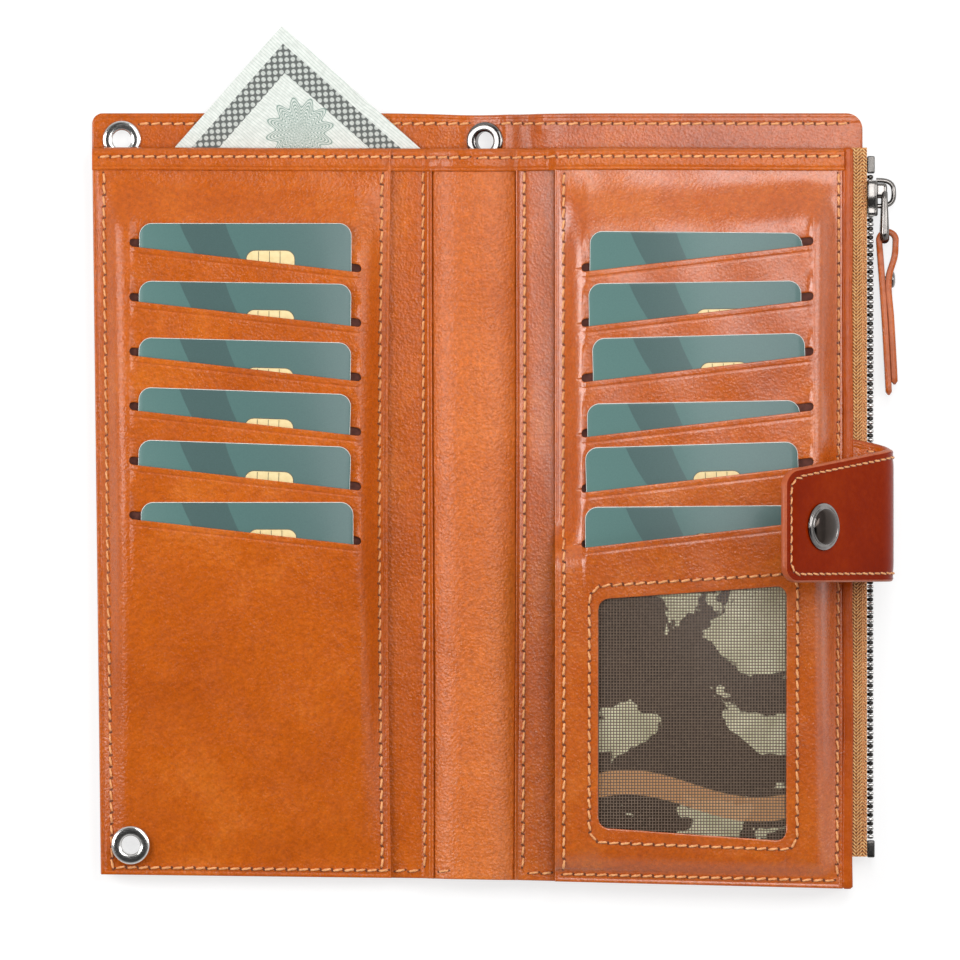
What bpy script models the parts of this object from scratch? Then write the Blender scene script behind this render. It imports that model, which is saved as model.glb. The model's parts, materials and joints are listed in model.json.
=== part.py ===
"""A long leather wallet lying open, face up, as separate solids.

X runs across the two leaves, Y towards the top hem and Z up out of the open face. The origin is the
middle of the spine's back. The right leaf is the fixed body, and the spine and left leaf fold over it.
All lengths are in metres.
"""

import math

import bmesh
import bpy
from mathutils import Matrix, Vector

# Outline of the open wallet
SPINE_WIDTH = 0.0234
HINGE_SPLIT = 0.0003
LEFT_LEAF_WIDTH = 0.0858
RIGHT_LEAF_WIDTH = 0.0843
BODY_TOP = 0.0929
SHELL_RISE = 0.0089
LEFT_LENGTH_BELOW = 0.0924
SPINE_LENGTH_BELOW = 0.0936
RIGHT_LENGTH_BELOW = 0.0960
LEFT_TAPER = 0.0022
FLAP_OVERHANG = 0.0032

# Leather and gaps, from the back up
SHELL_THICK = 0.0012
BILL_GAP = 0.0016
LINER_THICK = 0.0008
ZIP_GAP = 0.0020
POCKET_THICK = 0.0008
PHONE_GAP = 0.0004
LINING_THICK = 0.0003
PANEL_THICK = 0.0006
LAYER_CLEARANCE = 0.00015
CLOSED_GAP = 0.0012
SEAM_WIDTH = 0.0030
SEAM_STEP = 0.0004
HEM_THICK = 0.0006
HEM_FRONT = 0.0059
HEM_BACK = 0.0035
SPINE_ARCH = 0.0042
EDGE_BINDING_WIDTH = 0.0020

# Panels
LEFT_PANEL_INNER = 0.0102
RIGHT_PANEL_INNER = 0.0094
PANEL_INSET = 0.0020
PANEL_SHOULDER = 0.0055

# Cards and their slits
CARD_WIDTH = 0.0540
CARD_LENGTH = 0.0856
CARD_THICK = 0.00076
CARD_CORNER = 0.0032
SLIT_COUNT = 6
SLIT_LENGTH = 0.0590
SLIT_HEIGHT = 0.0020
LEFT_SLIT_TOP = 0.0653
LEFT_SLIT_PITCH = 0.01388
LEFT_SLIT_ANGLE = -6.5
LEFT_SLIT_MIDDLE = 0.0465
LEFT_CARD_SHOWS = (0.0082, 0.0070, 0.0062, 0.0072, 0.0077, 0.0066)
LEFT_CARD_TILTS = (0.0, -0.9, -1.5, -2.0, -2.0, 0.0)
RIGHT_SLIT_TOP = 0.0655
RIGHT_SLIT_PITCH = 0.01404
RIGHT_SLIT_ANGLE = 6.7
RIGHT_SLIT_MIDDLE = 0.0451
RIGHT_CARD_SHOWS = (0.0057, 0.0070, 0.0074, 0.0046, 0.0078, 0.0062)
RIGHT_CARD_TILTS = (-0.5, 0.8, 1.5, 1.0, 1.7, 0.5)
LEFT_CARD_SHIFTS = (0.0, 0.0, 0.0, 0.0, 0.0, 0.0005)
RIGHT_CARD_SHIFTS = (-0.0003, -0.0007, 0.0002, -0.0011, -0.0016, -0.0016)

# Window and the card behind it
WINDOW_WIDTH = 0.0478
WINDOW_BOTTOM = -0.0820
WINDOW_TOP = -0.0205
WINDOW_LEFT_FROM_HINGE = 0.0199
WINDOW_SKEW = 0.0017
MESH_THICK = 0.00025
MESH_LAP = 0.0030
ID_WIDTH = 0.0520
ID_LENGTH = 0.0790
ID_TOP = -0.0110

# Banknote in the bill compartment
NOTE_WIDTH = 0.0485
NOTE_LENGTH = 0.0663
NOTE_THICK = 0.0003
NOTE_APEX_X = -0.0490
NOTE_RISE = 0.0311
NOTE_ANGLE = 41.5

# Eyelets
EYELET_HOLE = 0.0028
EYELET_WALL = 0.0004
EYELET_FLANGE = 0.0049
EYELET_THICK = 0.0006
EYELET_HOLE_CLEARANCE = 0.0002
WASHER_THICK = 0.0003
TOP_EYELET_FROM_EDGE = 0.0076
TOP_EYELET_FROM_RIM = 0.0068
BOTTOM_EYELET_FROM_EDGE = 0.0078
BOTTOM_EYELET_UP = 0.0075
SPINE_EYELET_X = 0.0030
SPINE_EYELET_FROM_RIM = 0.0072
SPINE_EYELET_TILT = 20.0

# Strap and its snap
STRAP_THICK = 0.0022
STRAP_TAIL = 0.0060
STRAP_STRAIGHT = 0.0015
STRAP_BEND = 0.0078
STRAP_BOTTOM = -0.0176
STRAP_ROOT_WIDTH = 0.0380
STRAP_BEND_WIDTH = 0.0335
STRAP_TIP_WIDTH = 0.0280
STRAP_LINK = 0.0100
STRAP_FLAP = 0.0324
STRAP_HINGE_GAP = 0.0016
STRAP_CORNER = 0.0045
STRAP_REST_LEAN = 41.0
STRAP_GIVE = 27.0
STRAP_SNAP = 76.0
SNAP_FROM_TIP = 0.0143
SNAP_RADIUS = 0.0060
SNAP_DOME = 0.0022
SOCKET_RADIUS = 0.0047
SOCKET_BORE = 0.0024
SOCKET_DEPTH = 0.0011
SNAP_CLEARANCE = 0.0003
STUD_REACH = 0.0016
STUD_FLANGE = 0.0045
STUD_FLANGE_THICK = 0.0004
STUD_NECK = 0.0016
STUD_HEAD = 0.0020
STUD_POST = 0.0010
STUD_RIVET_RADIUS = 0.0040
STUD_RIVET_THICK = 0.0004

# Zip
CHAIN_FROM_EDGE = 0.0043
CHAIN_HALF = 0.0020
CHAIN_THICK = 0.0016
CHAIN_GAP = 0.0003
TOOTH_PITCH = 0.0022
TOOTH_WAVE = 0.0008
ZIP_TOP_BELOW_HEM = 0.0069
ZIP_BOTTOM = -0.0834
STOP_LENGTH = 0.0045
TAPE_THICK = 0.0004
TAPE_EDGE = 0.0080
SLIDER_HALF = 0.0030
SLIDER_OFF_TABLE = 0.00035
SLIDER_PLATE = 0.0008
SLIDER_LENGTH = 0.0090
SLIDER_CLEARANCE = 0.0002
SLIDER_BELOW_TOP = 0.0015
BAIL_REACH = 0.0036
BAIL_WIRE = 0.0012
BAIL_LENGTH = 0.0064
LINK_WIRE = 0.0010
LINK_LENGTH = 0.0120
LINK_WIDTH = 0.0058
TAB_WIDTH = 0.0058
TAB_FOLD_WIDTH = 0.0034
TAB_NECK = 0.0020
TAB_LENGTH = 0.0395
TAB_THICK = 0.0016
TAB_GAP = 0.00025
TAB_MOUTH = 0.0030
TAB_LEAN = 0.0025
TAB_RIVET_DOWN = 0.0100
TAB_RIVET_RADIUS = 0.0021
TAB_RIVET_HEAD = 0.0009
TAB_RIVET_POST = 0.0009

ROUND_SIDES = 20
CORNER_STEPS = 4
BEND_STEPS = 7
FOLD_STEPS = 6
SMOOTH_ANGLE = 35.0

# Shares of a width or a height, from one side or end to the other
arch_shares = (-1, -0.75, -0.4, 0, 0.4, 0.75, 1)
round_end_shares = ((0, 1), (0.5, 0.87), (0.8, 0.6), (0.95, 0.31))
dome_shares = ((1, 0.3), (0.92, 0.6), (0.7, 0.85), (0.4, 0.97))
stud_neck_share = 0.4
stud_bulge_share = 0.6
rivet_edge_share = 0.6
rivet_top_share = 0.75

# Levels and edges that follow from the sizes above
half_spine = SPINE_WIDTH / 2
leaf_start = half_spine + HINGE_SPLIT
left_edge = -half_spine - LEFT_LEAF_WIDTH
right_edge = half_spine + RIGHT_LEAF_WIDTH
shell_top_y = BODY_TOP + SHELL_RISE
sheet_top_y = BODY_TOP - HEM_THICK - LAYER_CLEARANCE
hem_low_y = BODY_TOP - HEM_FRONT

liner_low = SHELL_THICK + BILL_GAP
liner_top = liner_low + LINER_THICK
left_pocket_low = liner_top + LAYER_CLEARANCE
left_lining_low = left_pocket_low + POCKET_THICK + PHONE_GAP
left_base = left_lining_low + LINING_THICK + LAYER_CLEARANCE
right_pocket_low = liner_top + ZIP_GAP
right_pocket_top = right_pocket_low + POCKET_THICK
right_lining_low = right_pocket_top + STRAP_THICK + 2 * LAYER_CLEARANCE
right_base = right_lining_low + LINING_THICK + LAYER_CLEARANCE
id_rise = LINING_THICK + CARD_THICK + MESH_THICK + 3 * LAYER_CLEARANCE


def mix(a, b, share):
    return a + (b - a) * share


def bottom_edge(x):
    """The lower edge runs a little downhill from the left leaf to the right one."""
    if x < 0:
        return -mix(SPINE_LENGTH_BELOW, LEFT_LENGTH_BELOW, -x / (LEFT_LEAF_WIDTH + half_spine))
    return -mix(SPINE_LENGTH_BELOW, RIGHT_LENGTH_BELOW, x / (RIGHT_LEAF_WIDTH + half_spine))


def left_outer(y):
    return left_edge + LEFT_TAPER * (BODY_TOP - y) / (BODY_TOP + LEFT_LENGTH_BELOW)


class CardSection:
    """Where the slits and cards of one leaf lie. Each card is steeper than the one above it, so that
    it passes over that card and over the leather between their slits."""

    def __init__(self, middle, slit_top, pitch, angle, base, shows, tilts):
        self.middle = middle
        self.slit_top = slit_top
        self.pitch = pitch
        self.base = base
        self.shows = shows
        self.tilts = tilts
        self.grade = math.tan(math.radians(angle))
        self.depth = CARD_LENGTH - min(shows)
        self.cards_end = slit_top - (SLIT_COUNT - 1) * pitch - self.depth
        at_slit = CARD_THICK + PANEL_THICK + 2 * LAYER_CLEARANCE
        self.slopes = [(CARD_THICK + LAYER_CLEARANCE) / pitch]
        for _ in range(SLIT_COUNT - 1):
            above = (self.depth - pitch) * self.slopes[-1]
            self.slopes.append((at_slit + above) / self.depth)

    def slit_y(self, index, x):
        return self.slit_top - index * self.pitch + (x - self.middle) * self.grade

    def card_z(self, index, y):
        lowest = self.slit_top - index * self.pitch - self.depth
        return self.base + self.slopes[index] * (y - lowest)

    def strip_z(self, index, y):
        """The underside of the leather below slit number index; -1 is the leather above them all."""
        if index < 0:
            return self.card_z(0, y) - LAYER_CLEARANCE - PANEL_THICK
        return self.card_z(index, y) + CARD_THICK + LAYER_CLEARANCE


left_cards = CardSection(
    -half_spine - LEFT_SLIT_MIDDLE, LEFT_SLIT_TOP, LEFT_SLIT_PITCH, LEFT_SLIT_ANGLE,
    left_base, LEFT_CARD_SHOWS, LEFT_CARD_TILTS,
)
right_cards = CardSection(
    half_spine + RIGHT_SLIT_MIDDLE, RIGHT_SLIT_TOP, RIGHT_SLIT_PITCH, RIGHT_SLIT_ANGLE,
    right_base, RIGHT_CARD_SHOWS, RIGHT_CARD_TILTS,
)


def section_top(cards, raised):
    lip = cards.slit_y(SLIT_COUNT - 1, cards.middle) + SLIT_LENGTH / 2 * abs(cards.grade)
    exposed = cards.card_z(SLIT_COUNT - 1, lip + max(cards.shows)) + CARD_THICK
    return max(cards.strip_z(SLIT_COUNT - 1, lip) + PANEL_THICK + raised, exposed)


closed_thick = section_top(left_cards, 0) + section_top(right_cards, id_rise) + CLOSED_GAP
hinge_z = (closed_thick - SPINE_WIDTH) / 2
spine_liner_low = hinge_z - 2 * HEM_THICK - LINER_THICK

COLOURS = {
    "leather": ((0.60, 0.16, 0.025), 0.45, 0.0),
    "dark_leather": ((0.30, 0.035, 0.008), 0.30, 0.0),
    "lining": ((0.12, 0.05, 0.025), 0.80, 0.0),
    "nickel": ((0.75, 0.74, 0.72), 0.25, 1.0),
    "gunmetal": ((0.16, 0.15, 0.14), 0.30, 1.0),
    "tape": ((0.66, 0.24, 0.06), 0.80, 0.0),
    "card": ((0.09, 0.24, 0.23), 0.35, 0.0),
    "id_card": ((0.07, 0.05, 0.035), 0.40, 0.0),
    "mesh": ((0.05, 0.04, 0.03), 0.70, 0.0),
    "paper": ((0.70, 0.70, 0.66), 0.85, 0.0),
}


def material_for(name, finish):
    colour, roughness, metallic = COLOURS[finish]
    material = bpy.data.materials.new(name)
    material.use_nodes = True
    shader = material.node_tree.nodes["Principled BSDF"]
    shader.inputs["Base Color"].default_value = (*colour, 1)
    shader.inputs["Roughness"].default_value = roughness
    shader.inputs["Metallic"].default_value = metallic
    material.diffuse_color = (*colour, 1)
    return material


stands = {}


def carry(item, parent, place):
    """Hangs an object on its parent, at a place given in the wallet's own frame."""
    item.parent = parent
    item.matrix_local = stands[parent.name].inverted() @ place if parent else place


def add_solid(name, finish, points, faces, place=None, parent=None, smooth=False):
    """One closed body from its points and faces, with its normals turned outwards."""
    mesh = bpy.data.meshes.new(name)
    mesh.from_pydata(points, [], faces)
    work = bmesh.new()
    work.from_mesh(mesh)
    bmesh.ops.recalc_face_normals(work, faces=work.faces)
    if work.calc_volume(signed=True) < 0:
        bmesh.ops.reverse_faces(work, faces=work.faces)
    work.to_mesh(mesh)
    work.free()
    if smooth:
        mesh.shade_smooth()
        mesh.set_sharp_from_angle(angle=math.radians(SMOOTH_ANGLE))
    mesh.materials.append(material_for(name, finish))
    solid = bpy.data.objects.new(name, mesh)
    bpy.context.scene.collection.objects.link(solid)
    carry(solid, parent, place or Matrix())
    return solid


def add_axis(name, place, parent=None):
    """An empty on a joint's axis, which carries the pieces that turn or slide there."""
    axis = bpy.data.objects.new(name, None)
    bpy.context.scene.collection.objects.link(axis)
    carry(axis, parent, place)
    stands[name] = place
    return axis


def sheet(name, finish, rows, open_cells=(), place=None, parent=None):
    """A leather sheet from rows of (x, y, underside, top). open_cells lists (row, column) holes."""
    wide = len(rows[0])
    count = len(rows) * wide
    low = [(x, y, z) for row in rows for x, y, z, _ in row]
    high = [(x, y, z) for row in rows for x, y, _, z in row]
    faces = []
    edges = {}
    for i in range(len(rows) - 1):
        for j in range(wide - 1):
            if (i, j) in open_cells:
                continue
            a = i * wide + j
            cell = (a, a + 1, a + wide + 1, a + wide)
            faces.append(tuple(count + k for k in cell))
            faces.append(cell[::-1])
            for k in range(4):
                side = (cell[k], cell[(k + 1) % 4])
                edges[frozenset(side)] = None if frozenset(side) in edges else side
    for side in edges.values():
        if side:
            a, b = side
            faces.append((a, b, count + b, count + a))
    return add_solid(name, finish, *without_loose(low + high, faces), place, parent)


def without_loose(points, faces):
    used = sorted({index for face in faces for index in face})
    number = {old: new for new, old in enumerate(used)}
    return [points[old] for old in used], [tuple(number[i] for i in face) for face in faces]


def loft(name, finish, sections, place=None, parent=None, smooth=False):
    """A solid through sections with the same number of points, closed by its two end faces."""
    wide = len(sections[0])
    points = [point for section in sections for point in section]
    faces = []
    for i in range(len(sections) - 1):
        for j in range(wide):
            a = i * wide + j
            b = i * wide + (j + 1) % wide
            faces.append((a, b, b + wide, a + wide))
    faces.append(tuple(range(wide))[::-1])
    last = (len(sections) - 1) * wide
    faces.append(tuple(range(last, last + wide)))
    return add_solid(name, finish, points, faces, place, parent, smooth)


def turned(name, finish, profile, place=None, parent=None, sides=ROUND_SIDES):
    """A closed profile of (radius, height) turned about Z. A radius of zero closes on the axis."""
    points = []
    rings = []
    for radius, height in profile:
        if radius == 0:
            rings.append([len(points)] * sides)
            points.append((0, 0, height))
            continue
        rings.append(list(range(len(points), len(points) + sides)))
        for k in range(sides):
            turn = math.tau * k / sides
            points.append((radius * math.cos(turn), radius * math.sin(turn), height))
    faces = []
    closed = all(radius for radius, _ in profile)
    for i in range(len(rings) if closed else len(rings) - 1):
        here = rings[i]
        there = rings[(i + 1) % len(rings)]
        for k in range(sides):
            n = (k + 1) % sides
            corner = dict.fromkeys((here[k], here[n], there[n], there[k]))
            if len(corner) > 2:
                faces.append(tuple(corner))
    return add_solid(name, finish, points, faces, place, parent, smooth=True)


def rounded_outline(width, length, radius):
    """A rectangle about the origin with round corners."""
    outline = []
    for corner, (side, end) in enumerate(((1, 1), (-1, 1), (-1, -1), (1, -1))):
        for step in range(CORNER_STEPS + 1):
            turn = math.pi / 2 * (corner + step / CORNER_STEPS)
            x = side * (width / 2 - radius) + radius * math.cos(turn)
            y = end * (length / 2 - radius) + radius * math.sin(turn)
            outline.append((x, y))
    return outline


def cut(target, cutter):
    """Subtracts a helper, which stays in the file as a wire."""
    cutter.hide_render = True
    cutter.display_type = "WIRE"
    modifier = target.modifiers.new(cutter.name, "BOOLEAN")
    modifier.operation = "DIFFERENCE"
    modifier.solver = "EXACT"
    modifier.object = cutter


def join(target, helper):
    """Adds a helper's shape to the target, which stays one body."""
    helper.hide_render = True
    helper.display_type = "WIRE"
    modifier = target.modifiers.new(helper.name, "BOOLEAN")
    modifier.operation = "UNION"
    modifier.solver = "EXACT"
    modifier.object = helper


def moved(x, y, z):
    return Matrix.Translation(Vector((x, y, z)))


def turned_by(degrees, axis):
    return Matrix.Rotation(math.radians(degrees), 4, axis)


for leftover in list(bpy.data.objects):
    bpy.data.objects.remove(leftover)

# The spine turns on the right leaf's edge, and the left leaf on the spine's other edge
spine_axis = add_axis("spine_axis", moved(half_spine, 0, hinge_z))
left_axis = add_axis("left_leaf_axis", moved(-half_spine, 0, hinge_z), spine_axis)


def spine_arch(x):
    return SPINE_ARCH * (1 - (x / half_spine) ** 2)


def band(height):
    """A row that follows the bottom edge at a height above it."""
    return lambda x: bottom_edge(x) + height


def level(height):
    return lambda x: height


def make_shells():
    """The outer leather. Its rim closes the bill compartment along the seams."""
    rim = liner_low - LAYER_CLEARANCE
    flat = SHELL_THICK
    ups = (
        (band(0), rim, rim), (band(SEAM_WIDTH), rim, rim), (band(SEAM_WIDTH + SEAM_STEP), rim, flat),
        (level(hem_low_y), rim, flat), (level(hem_low_y + SEAM_STEP), flat, flat),
        (level(BODY_TOP), flat, flat), (level(BODY_TOP + SEAM_STEP), flat, flat),
        (level(shell_top_y), flat, flat),
    )
    left = []
    right = []
    for up, outer_top, inner_top in ups:
        edge = left_outer(min(up(left_edge), BODY_TOP))
        xs = (edge, edge + SEAM_WIDTH, edge + SEAM_WIDTH + SEAM_STEP, -leaf_start)
        tops = (outer_top, outer_top, inner_top, inner_top)
        left.append([(x, up(x), 0, top) for x, top in zip(xs, tops)])
        edge = right_edge + (FLAP_OVERHANG if up(right_edge) > BODY_TOP else 0)
        right.append([(x, up(x), 0, inner_top) for x in (leaf_start, edge)])
    sheet("shell_right", "leather", right)
    return sheet("shell_left", "leather", left, parent=left_axis)


def make_spine_shell():
    """Flat on its back, and lifted on a slant beside the hem, where the spine's eyelet is set."""
    wide = half_spine - HINGE_SPLIT
    run = EYELET_FLANGE + SEAM_STEP
    grade = math.tan(math.radians(SPINE_EYELET_TILT))
    xs = (-wide, SPINE_EYELET_X - run, SPINE_EYELET_X + run, wide)
    flat = (0, 0, 0, 0)
    lifted = (0, 0, 2 * run * grade, 0)
    slant_from = shell_top_y - SPINE_EYELET_FROM_RIM - run
    ups = (
        (band(0), flat), (level(slant_from - HEM_FRONT), flat), (level(slant_from), lifted),
        (level(shell_top_y), lifted),
    )
    rows = [[(x, up(x), z, z + SHELL_THICK) for x, z in zip(xs, lifts)] for up, lifts in ups]
    shell = sheet("shell_spine", "leather", rows, parent=spine_axis)
    eyelet_y = shell_top_y - SPINE_EYELET_FROM_RIM
    middle = moved(SPINE_EYELET_X, eyelet_y, run * grade + SHELL_THICK / 2)
    return shell, middle @ turned_by(-SPINE_EYELET_TILT, "Y")


def seam_rows(xs, low, high, rims):
    """Rows of a flat layer. rims holds its underside and its tops, one for each x, at the seams."""
    seam_low, seam_tops = rims
    ups = (
        (band(0), True), (band(SEAM_WIDTH), True), (band(SEAM_WIDTH + SEAM_STEP), False),
        (level(hem_low_y - SEAM_STEP), False), (level(hem_low_y), True), (level(sheet_top_y), True),
    )
    rows = []
    for up, seam in ups:
        tops = seam_tops if seam else [high] * len(xs)
        rows.append([(x, up(x), seam_low if seam else low, top) for x, top in zip(xs, tops)])
    return rows


def make_liners():
    """The wall between the bill compartment and the pockets, in three pieces that fold."""
    left_xs = (left_outer(0), -leaf_start)
    right_xs = (leaf_start, right_edge)
    rims = (liner_low, (liner_top, liner_top))
    sheet("liner_right", "leather", seam_rows(right_xs, liner_low, liner_top, rims))
    wide = half_spine - HINGE_SPLIT
    sections = []
    for share in arch_shares:
        x = wide * share
        low = spine_liner_low + spine_arch(x)
        top = low + LINER_THICK
        bottom = bottom_edge(x)
        sections.append([(x, bottom, low), (x, sheet_top_y, low), (x, sheet_top_y, top), (x, bottom, top)])
    loft("liner_spine", "leather", sections, parent=spine_axis)
    rows = seam_rows(left_xs, liner_low, liner_top, rims)
    return sheet("liner_left", "leather", rows, parent=left_axis)


left_panel_inner = -half_spine - LEFT_PANEL_INNER
right_panel_inner = half_spine + RIGHT_PANEL_INNER
left_panel_outer = left_outer(0) + SEAM_STEP
right_panel_outer = right_edge - EDGE_BINDING_WIDTH - LAYER_CLEARANCE


def make_pocket_panels():
    """Each leaf's inner skin. Its seams are built up to the level of the layer above it."""
    step = SEAM_STEP
    low, top = left_pocket_low, left_pocket_low + POCKET_THICK
    rim = left_lining_low - LAYER_CLEARANCE
    xs = (left_panel_outer, left_panel_inner, left_panel_inner + step, -leaf_start)
    left = sheet(
        "pocket_panel_left", "leather", seam_rows(xs, low, top, (low, (rim, rim, top, top))),
        parent=left_axis,
    )
    low, top = right_pocket_low, right_pocket_top
    rim = right_lining_low - LAYER_CLEARANCE
    xs = (leaf_start, right_panel_inner - step, right_panel_inner, right_panel_outer)
    seam_low = liner_top + LAYER_CLEARANCE
    sheet("pocket_panel_right", "leather", seam_rows(xs, low, top, (seam_low, (top, top, rim, rim))))
    return left


def make_linings():
    xs = (left_panel_outer, left_panel_inner)
    low, top = left_lining_low, left_lining_low + LINING_THICK
    rows = seam_rows(xs, low, top, (low, (top, top)))
    left = sheet("card_lining_left", "lining", rows, parent=left_axis)
    xs = (right_panel_inner, right_panel_outer)
    low, top = right_lining_low, right_lining_low + LINING_THICK
    sheet("card_lining_right", "lining", seam_rows(xs, low, top, (low, (top, top))))
    return left


window_middle = half_spine + WINDOW_LEFT_FROM_HINGE + WINDOW_WIDTH / 2


def window_top(x):
    return WINDOW_TOP + WINDOW_SKEW * (x - window_middle) / (WINDOW_WIDTH / 2)


def window_bottom(x):
    return WINDOW_BOTTOM - WINDOW_SKEW * (x - window_middle) / (WINDOW_WIDTH / 2)


def make_card_panel(name, cards, edges, raised, window, parent=None):
    """Leather with six slits. Each card comes up through its slit, over the strip of leather above it
    and under the strip below it, so the strips lie like slats. The panel falls to the lining at its
    edges, except beside the window, where the ID card slides out towards the spine."""
    first, last = edges
    slits = (cards.middle - SLIT_LENGTH / 2, cards.middle + SLIT_LENGTH / 2)
    xs = [first, first + PANEL_SHOULDER, *slits, last - PANEL_SHOULDER, last]
    if window:
        xs[3:3] = [window_middle - WINDOW_WIDTH / 2, window_middle + WINDOW_WIDTH / 2]
    lowest = min(cards.cards_end, ID_TOP - ID_LENGTH) if window else cards.cards_end
    bottom_strip = SLIT_COUNT - 1
    ups = [(band(0), None), (band(SEAM_WIDTH), None), (level(lowest - SEAM_STEP), bottom_strip)]
    if window:
        ups += [(window_bottom, bottom_strip), (window_top, bottom_strip)]
    holes = {(len(ups) - 2, 3)} if window else set()
    slit_cells = range(2, len(xs) - 3)
    for index in reversed(range(SLIT_COUNT)):
        holes |= {(len(ups), column) for column in slit_cells}
        ups.append((lambda x, i=index: cards.slit_y(i, x) - SLIT_HEIGHT / 2, index))
        ups.append((lambda x, i=index: cards.slit_y(i, x) + SLIT_HEIGHT / 2, index - 1))
    ups += [(level(hem_low_y - SEAM_WIDTH), None), (level(sheet_top_y), None)]
    rows = []
    for up, strip in ups:
        row = []
        for place, x in enumerate(xs):
            at_edge = place in (0, len(xs) - 1)
            open_side = window and place == 0 and strip == bottom_strip
            z = cards.base
            if strip is not None and (not at_edge or open_side):
                z = cards.strip_z(strip, up(x)) + (raised if strip == bottom_strip else 0)
            row.append((x, up(x), z, z + PANEL_THICK))
        rows.append(row)
    return sheet(name, "leather", rows, holes, parent=parent)


def make_window():
    """The mesh under the window's edge and the lining behind the ID card."""
    bottom_strip = SLIT_COUNT - 1
    lap = MESH_LAP

    def slanted(name, finish, xs, ys, rise, thick):
        rows = []
        for up in ys:
            row = [(x, up(x), right_cards.strip_z(bottom_strip, up(x)) + rise) for x in xs]
            rows.append([(x, y, z, z + thick) for x, y, z in row])
        sheet(name, finish, rows)

    backing_xs = (right_panel_inner + SEAM_STEP, right_panel_outer - PANEL_SHOULDER)
    backing_ys = (level(ID_TOP - ID_LENGTH), level(ID_TOP))
    slanted("window_backing", "lining", backing_xs, backing_ys, 0, LINING_THICK)
    mesh_xs = (window_middle - WINDOW_WIDTH / 2 - lap, window_middle + WINDOW_WIDTH / 2 + lap)
    mesh_ys = (lambda x: window_bottom(x) - lap, lambda x: window_top(x) + lap)
    mesh_rise = LINING_THICK + CARD_THICK + 2 * LAYER_CLEARANCE
    slanted("window_mesh", "mesh", mesh_xs, mesh_ys, mesh_rise, MESH_THICK)


def hem(name, spans, parent=None):
    """The binding folded over the top edge. spans lists (x, lowest, highest) of what it holds."""
    sections = []
    for x, lowest, highest in spans:
        under = lowest - LAYER_CLEARANCE
        over = highest + LAYER_CLEARANCE
        inside = BODY_TOP - HEM_THICK
        outline = (
            (hem_low_y, over + HEM_THICK), (inside, over + HEM_THICK),
            (BODY_TOP, over), (BODY_TOP, under), (inside, under - HEM_THICK),
            (BODY_TOP - HEM_BACK, under - HEM_THICK), (BODY_TOP - HEM_BACK, under),
            (inside, under), (inside, over), (hem_low_y, over),
        )
        sections.append([(x, y, z) for y, z in outline])
    return loft(name, "leather", sections, parent=parent)


def make_hems():
    pocket_top = left_pocket_low + POCKET_THICK
    panel_top = left_base + PANEL_THICK
    step = PANEL_INSET
    hem("top_hem_left", (
        (left_outer(BODY_TOP), liner_low, panel_top), (left_panel_inner, liner_low, panel_top),
        (left_panel_inner + step, liner_low, pocket_top), (-leaf_start, liner_low, pocket_top),
    ), left_axis)
    panel_top = right_base + PANEL_THICK
    hem("top_hem_right", (
        (leaf_start, liner_low, right_pocket_top), (right_panel_inner - step, liner_low, right_pocket_top),
        (right_panel_inner, liner_low, panel_top), (right_panel_outer, liner_low, panel_top),
    ))
    spans = []
    for share in arch_shares:
        x = share * (half_spine - HEM_THICK - HINGE_SPLIT)
        low = spine_liner_low + spine_arch(x)
        spans.append((x, low, low + LINER_THICK))
    hem("top_hem_spine", spans, spine_axis)


def make_edge_binding():
    low = right_lining_low
    top = right_base + PANEL_THICK
    round_off = (top - low) / 3
    outline = (
        (right_edge - EDGE_BINDING_WIDTH, low), (right_edge - round_off, low),
        (right_edge, low + round_off),
        (right_edge, top - round_off), (right_edge - round_off, top),
        (right_edge - EDGE_BINDING_WIDTH, top),
    )
    ends = (bottom_edge(right_edge), BODY_TOP)
    loft("edge_binding", "leather", [[(x, y, z) for x, z in outline] for y in ends])


def card_solid(name, finish, width, length, thick, place, parent=None):
    outline = rounded_outline(width, length, CARD_CORNER)
    levels = (-thick / 2, thick / 2)
    sections = [[(x, y, z) for x, y in outline] for z in levels]
    return loft(name, finish, sections, place, parent)


def make_cards(side, cards, shifts, parent):
    """Each card's own axis lies along it, in its slanted plane, and is where it slides."""
    for index in range(SLIT_COUNT):
        slant = Matrix.Rotation(math.atan(cards.slopes[index]), 4, "X")
        turn = slant @ turned_by(cards.tilts[index], "Z")
        x = cards.middle + shifts[index]
        y = cards.slit_y(index, cards.middle) + cards.shows[index]
        top = Vector((x, y, cards.card_z(index, y) + CARD_THICK / 2))
        middle = top - turn.to_3x3() @ Vector((0, CARD_LENGTH / 2, 0))
        name = f"card_{side}_{index + 1}"
        place = Matrix.Translation(middle) @ turn
        axis = add_axis(name + "_slide", place, parent)
        card_solid(name, "card", CARD_WIDTH, CARD_LENGTH, CARD_THICK, place, axis)


def make_id_card():
    bottom_strip = SLIT_COUNT - 1
    slope = right_cards.slopes[bottom_strip]
    y = ID_TOP - ID_LENGTH / 2
    z = right_cards.strip_z(bottom_strip, y) + LINING_THICK + LAYER_CLEARANCE + CARD_THICK / 2
    place = moved(window_middle, y, z) @ Matrix.Rotation(math.atan(slope), 4, "X")
    axis = add_axis("id_card_slide", place)
    card_solid("id_card", "id_card", ID_WIDTH, ID_LENGTH, CARD_THICK, place, axis)


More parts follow.
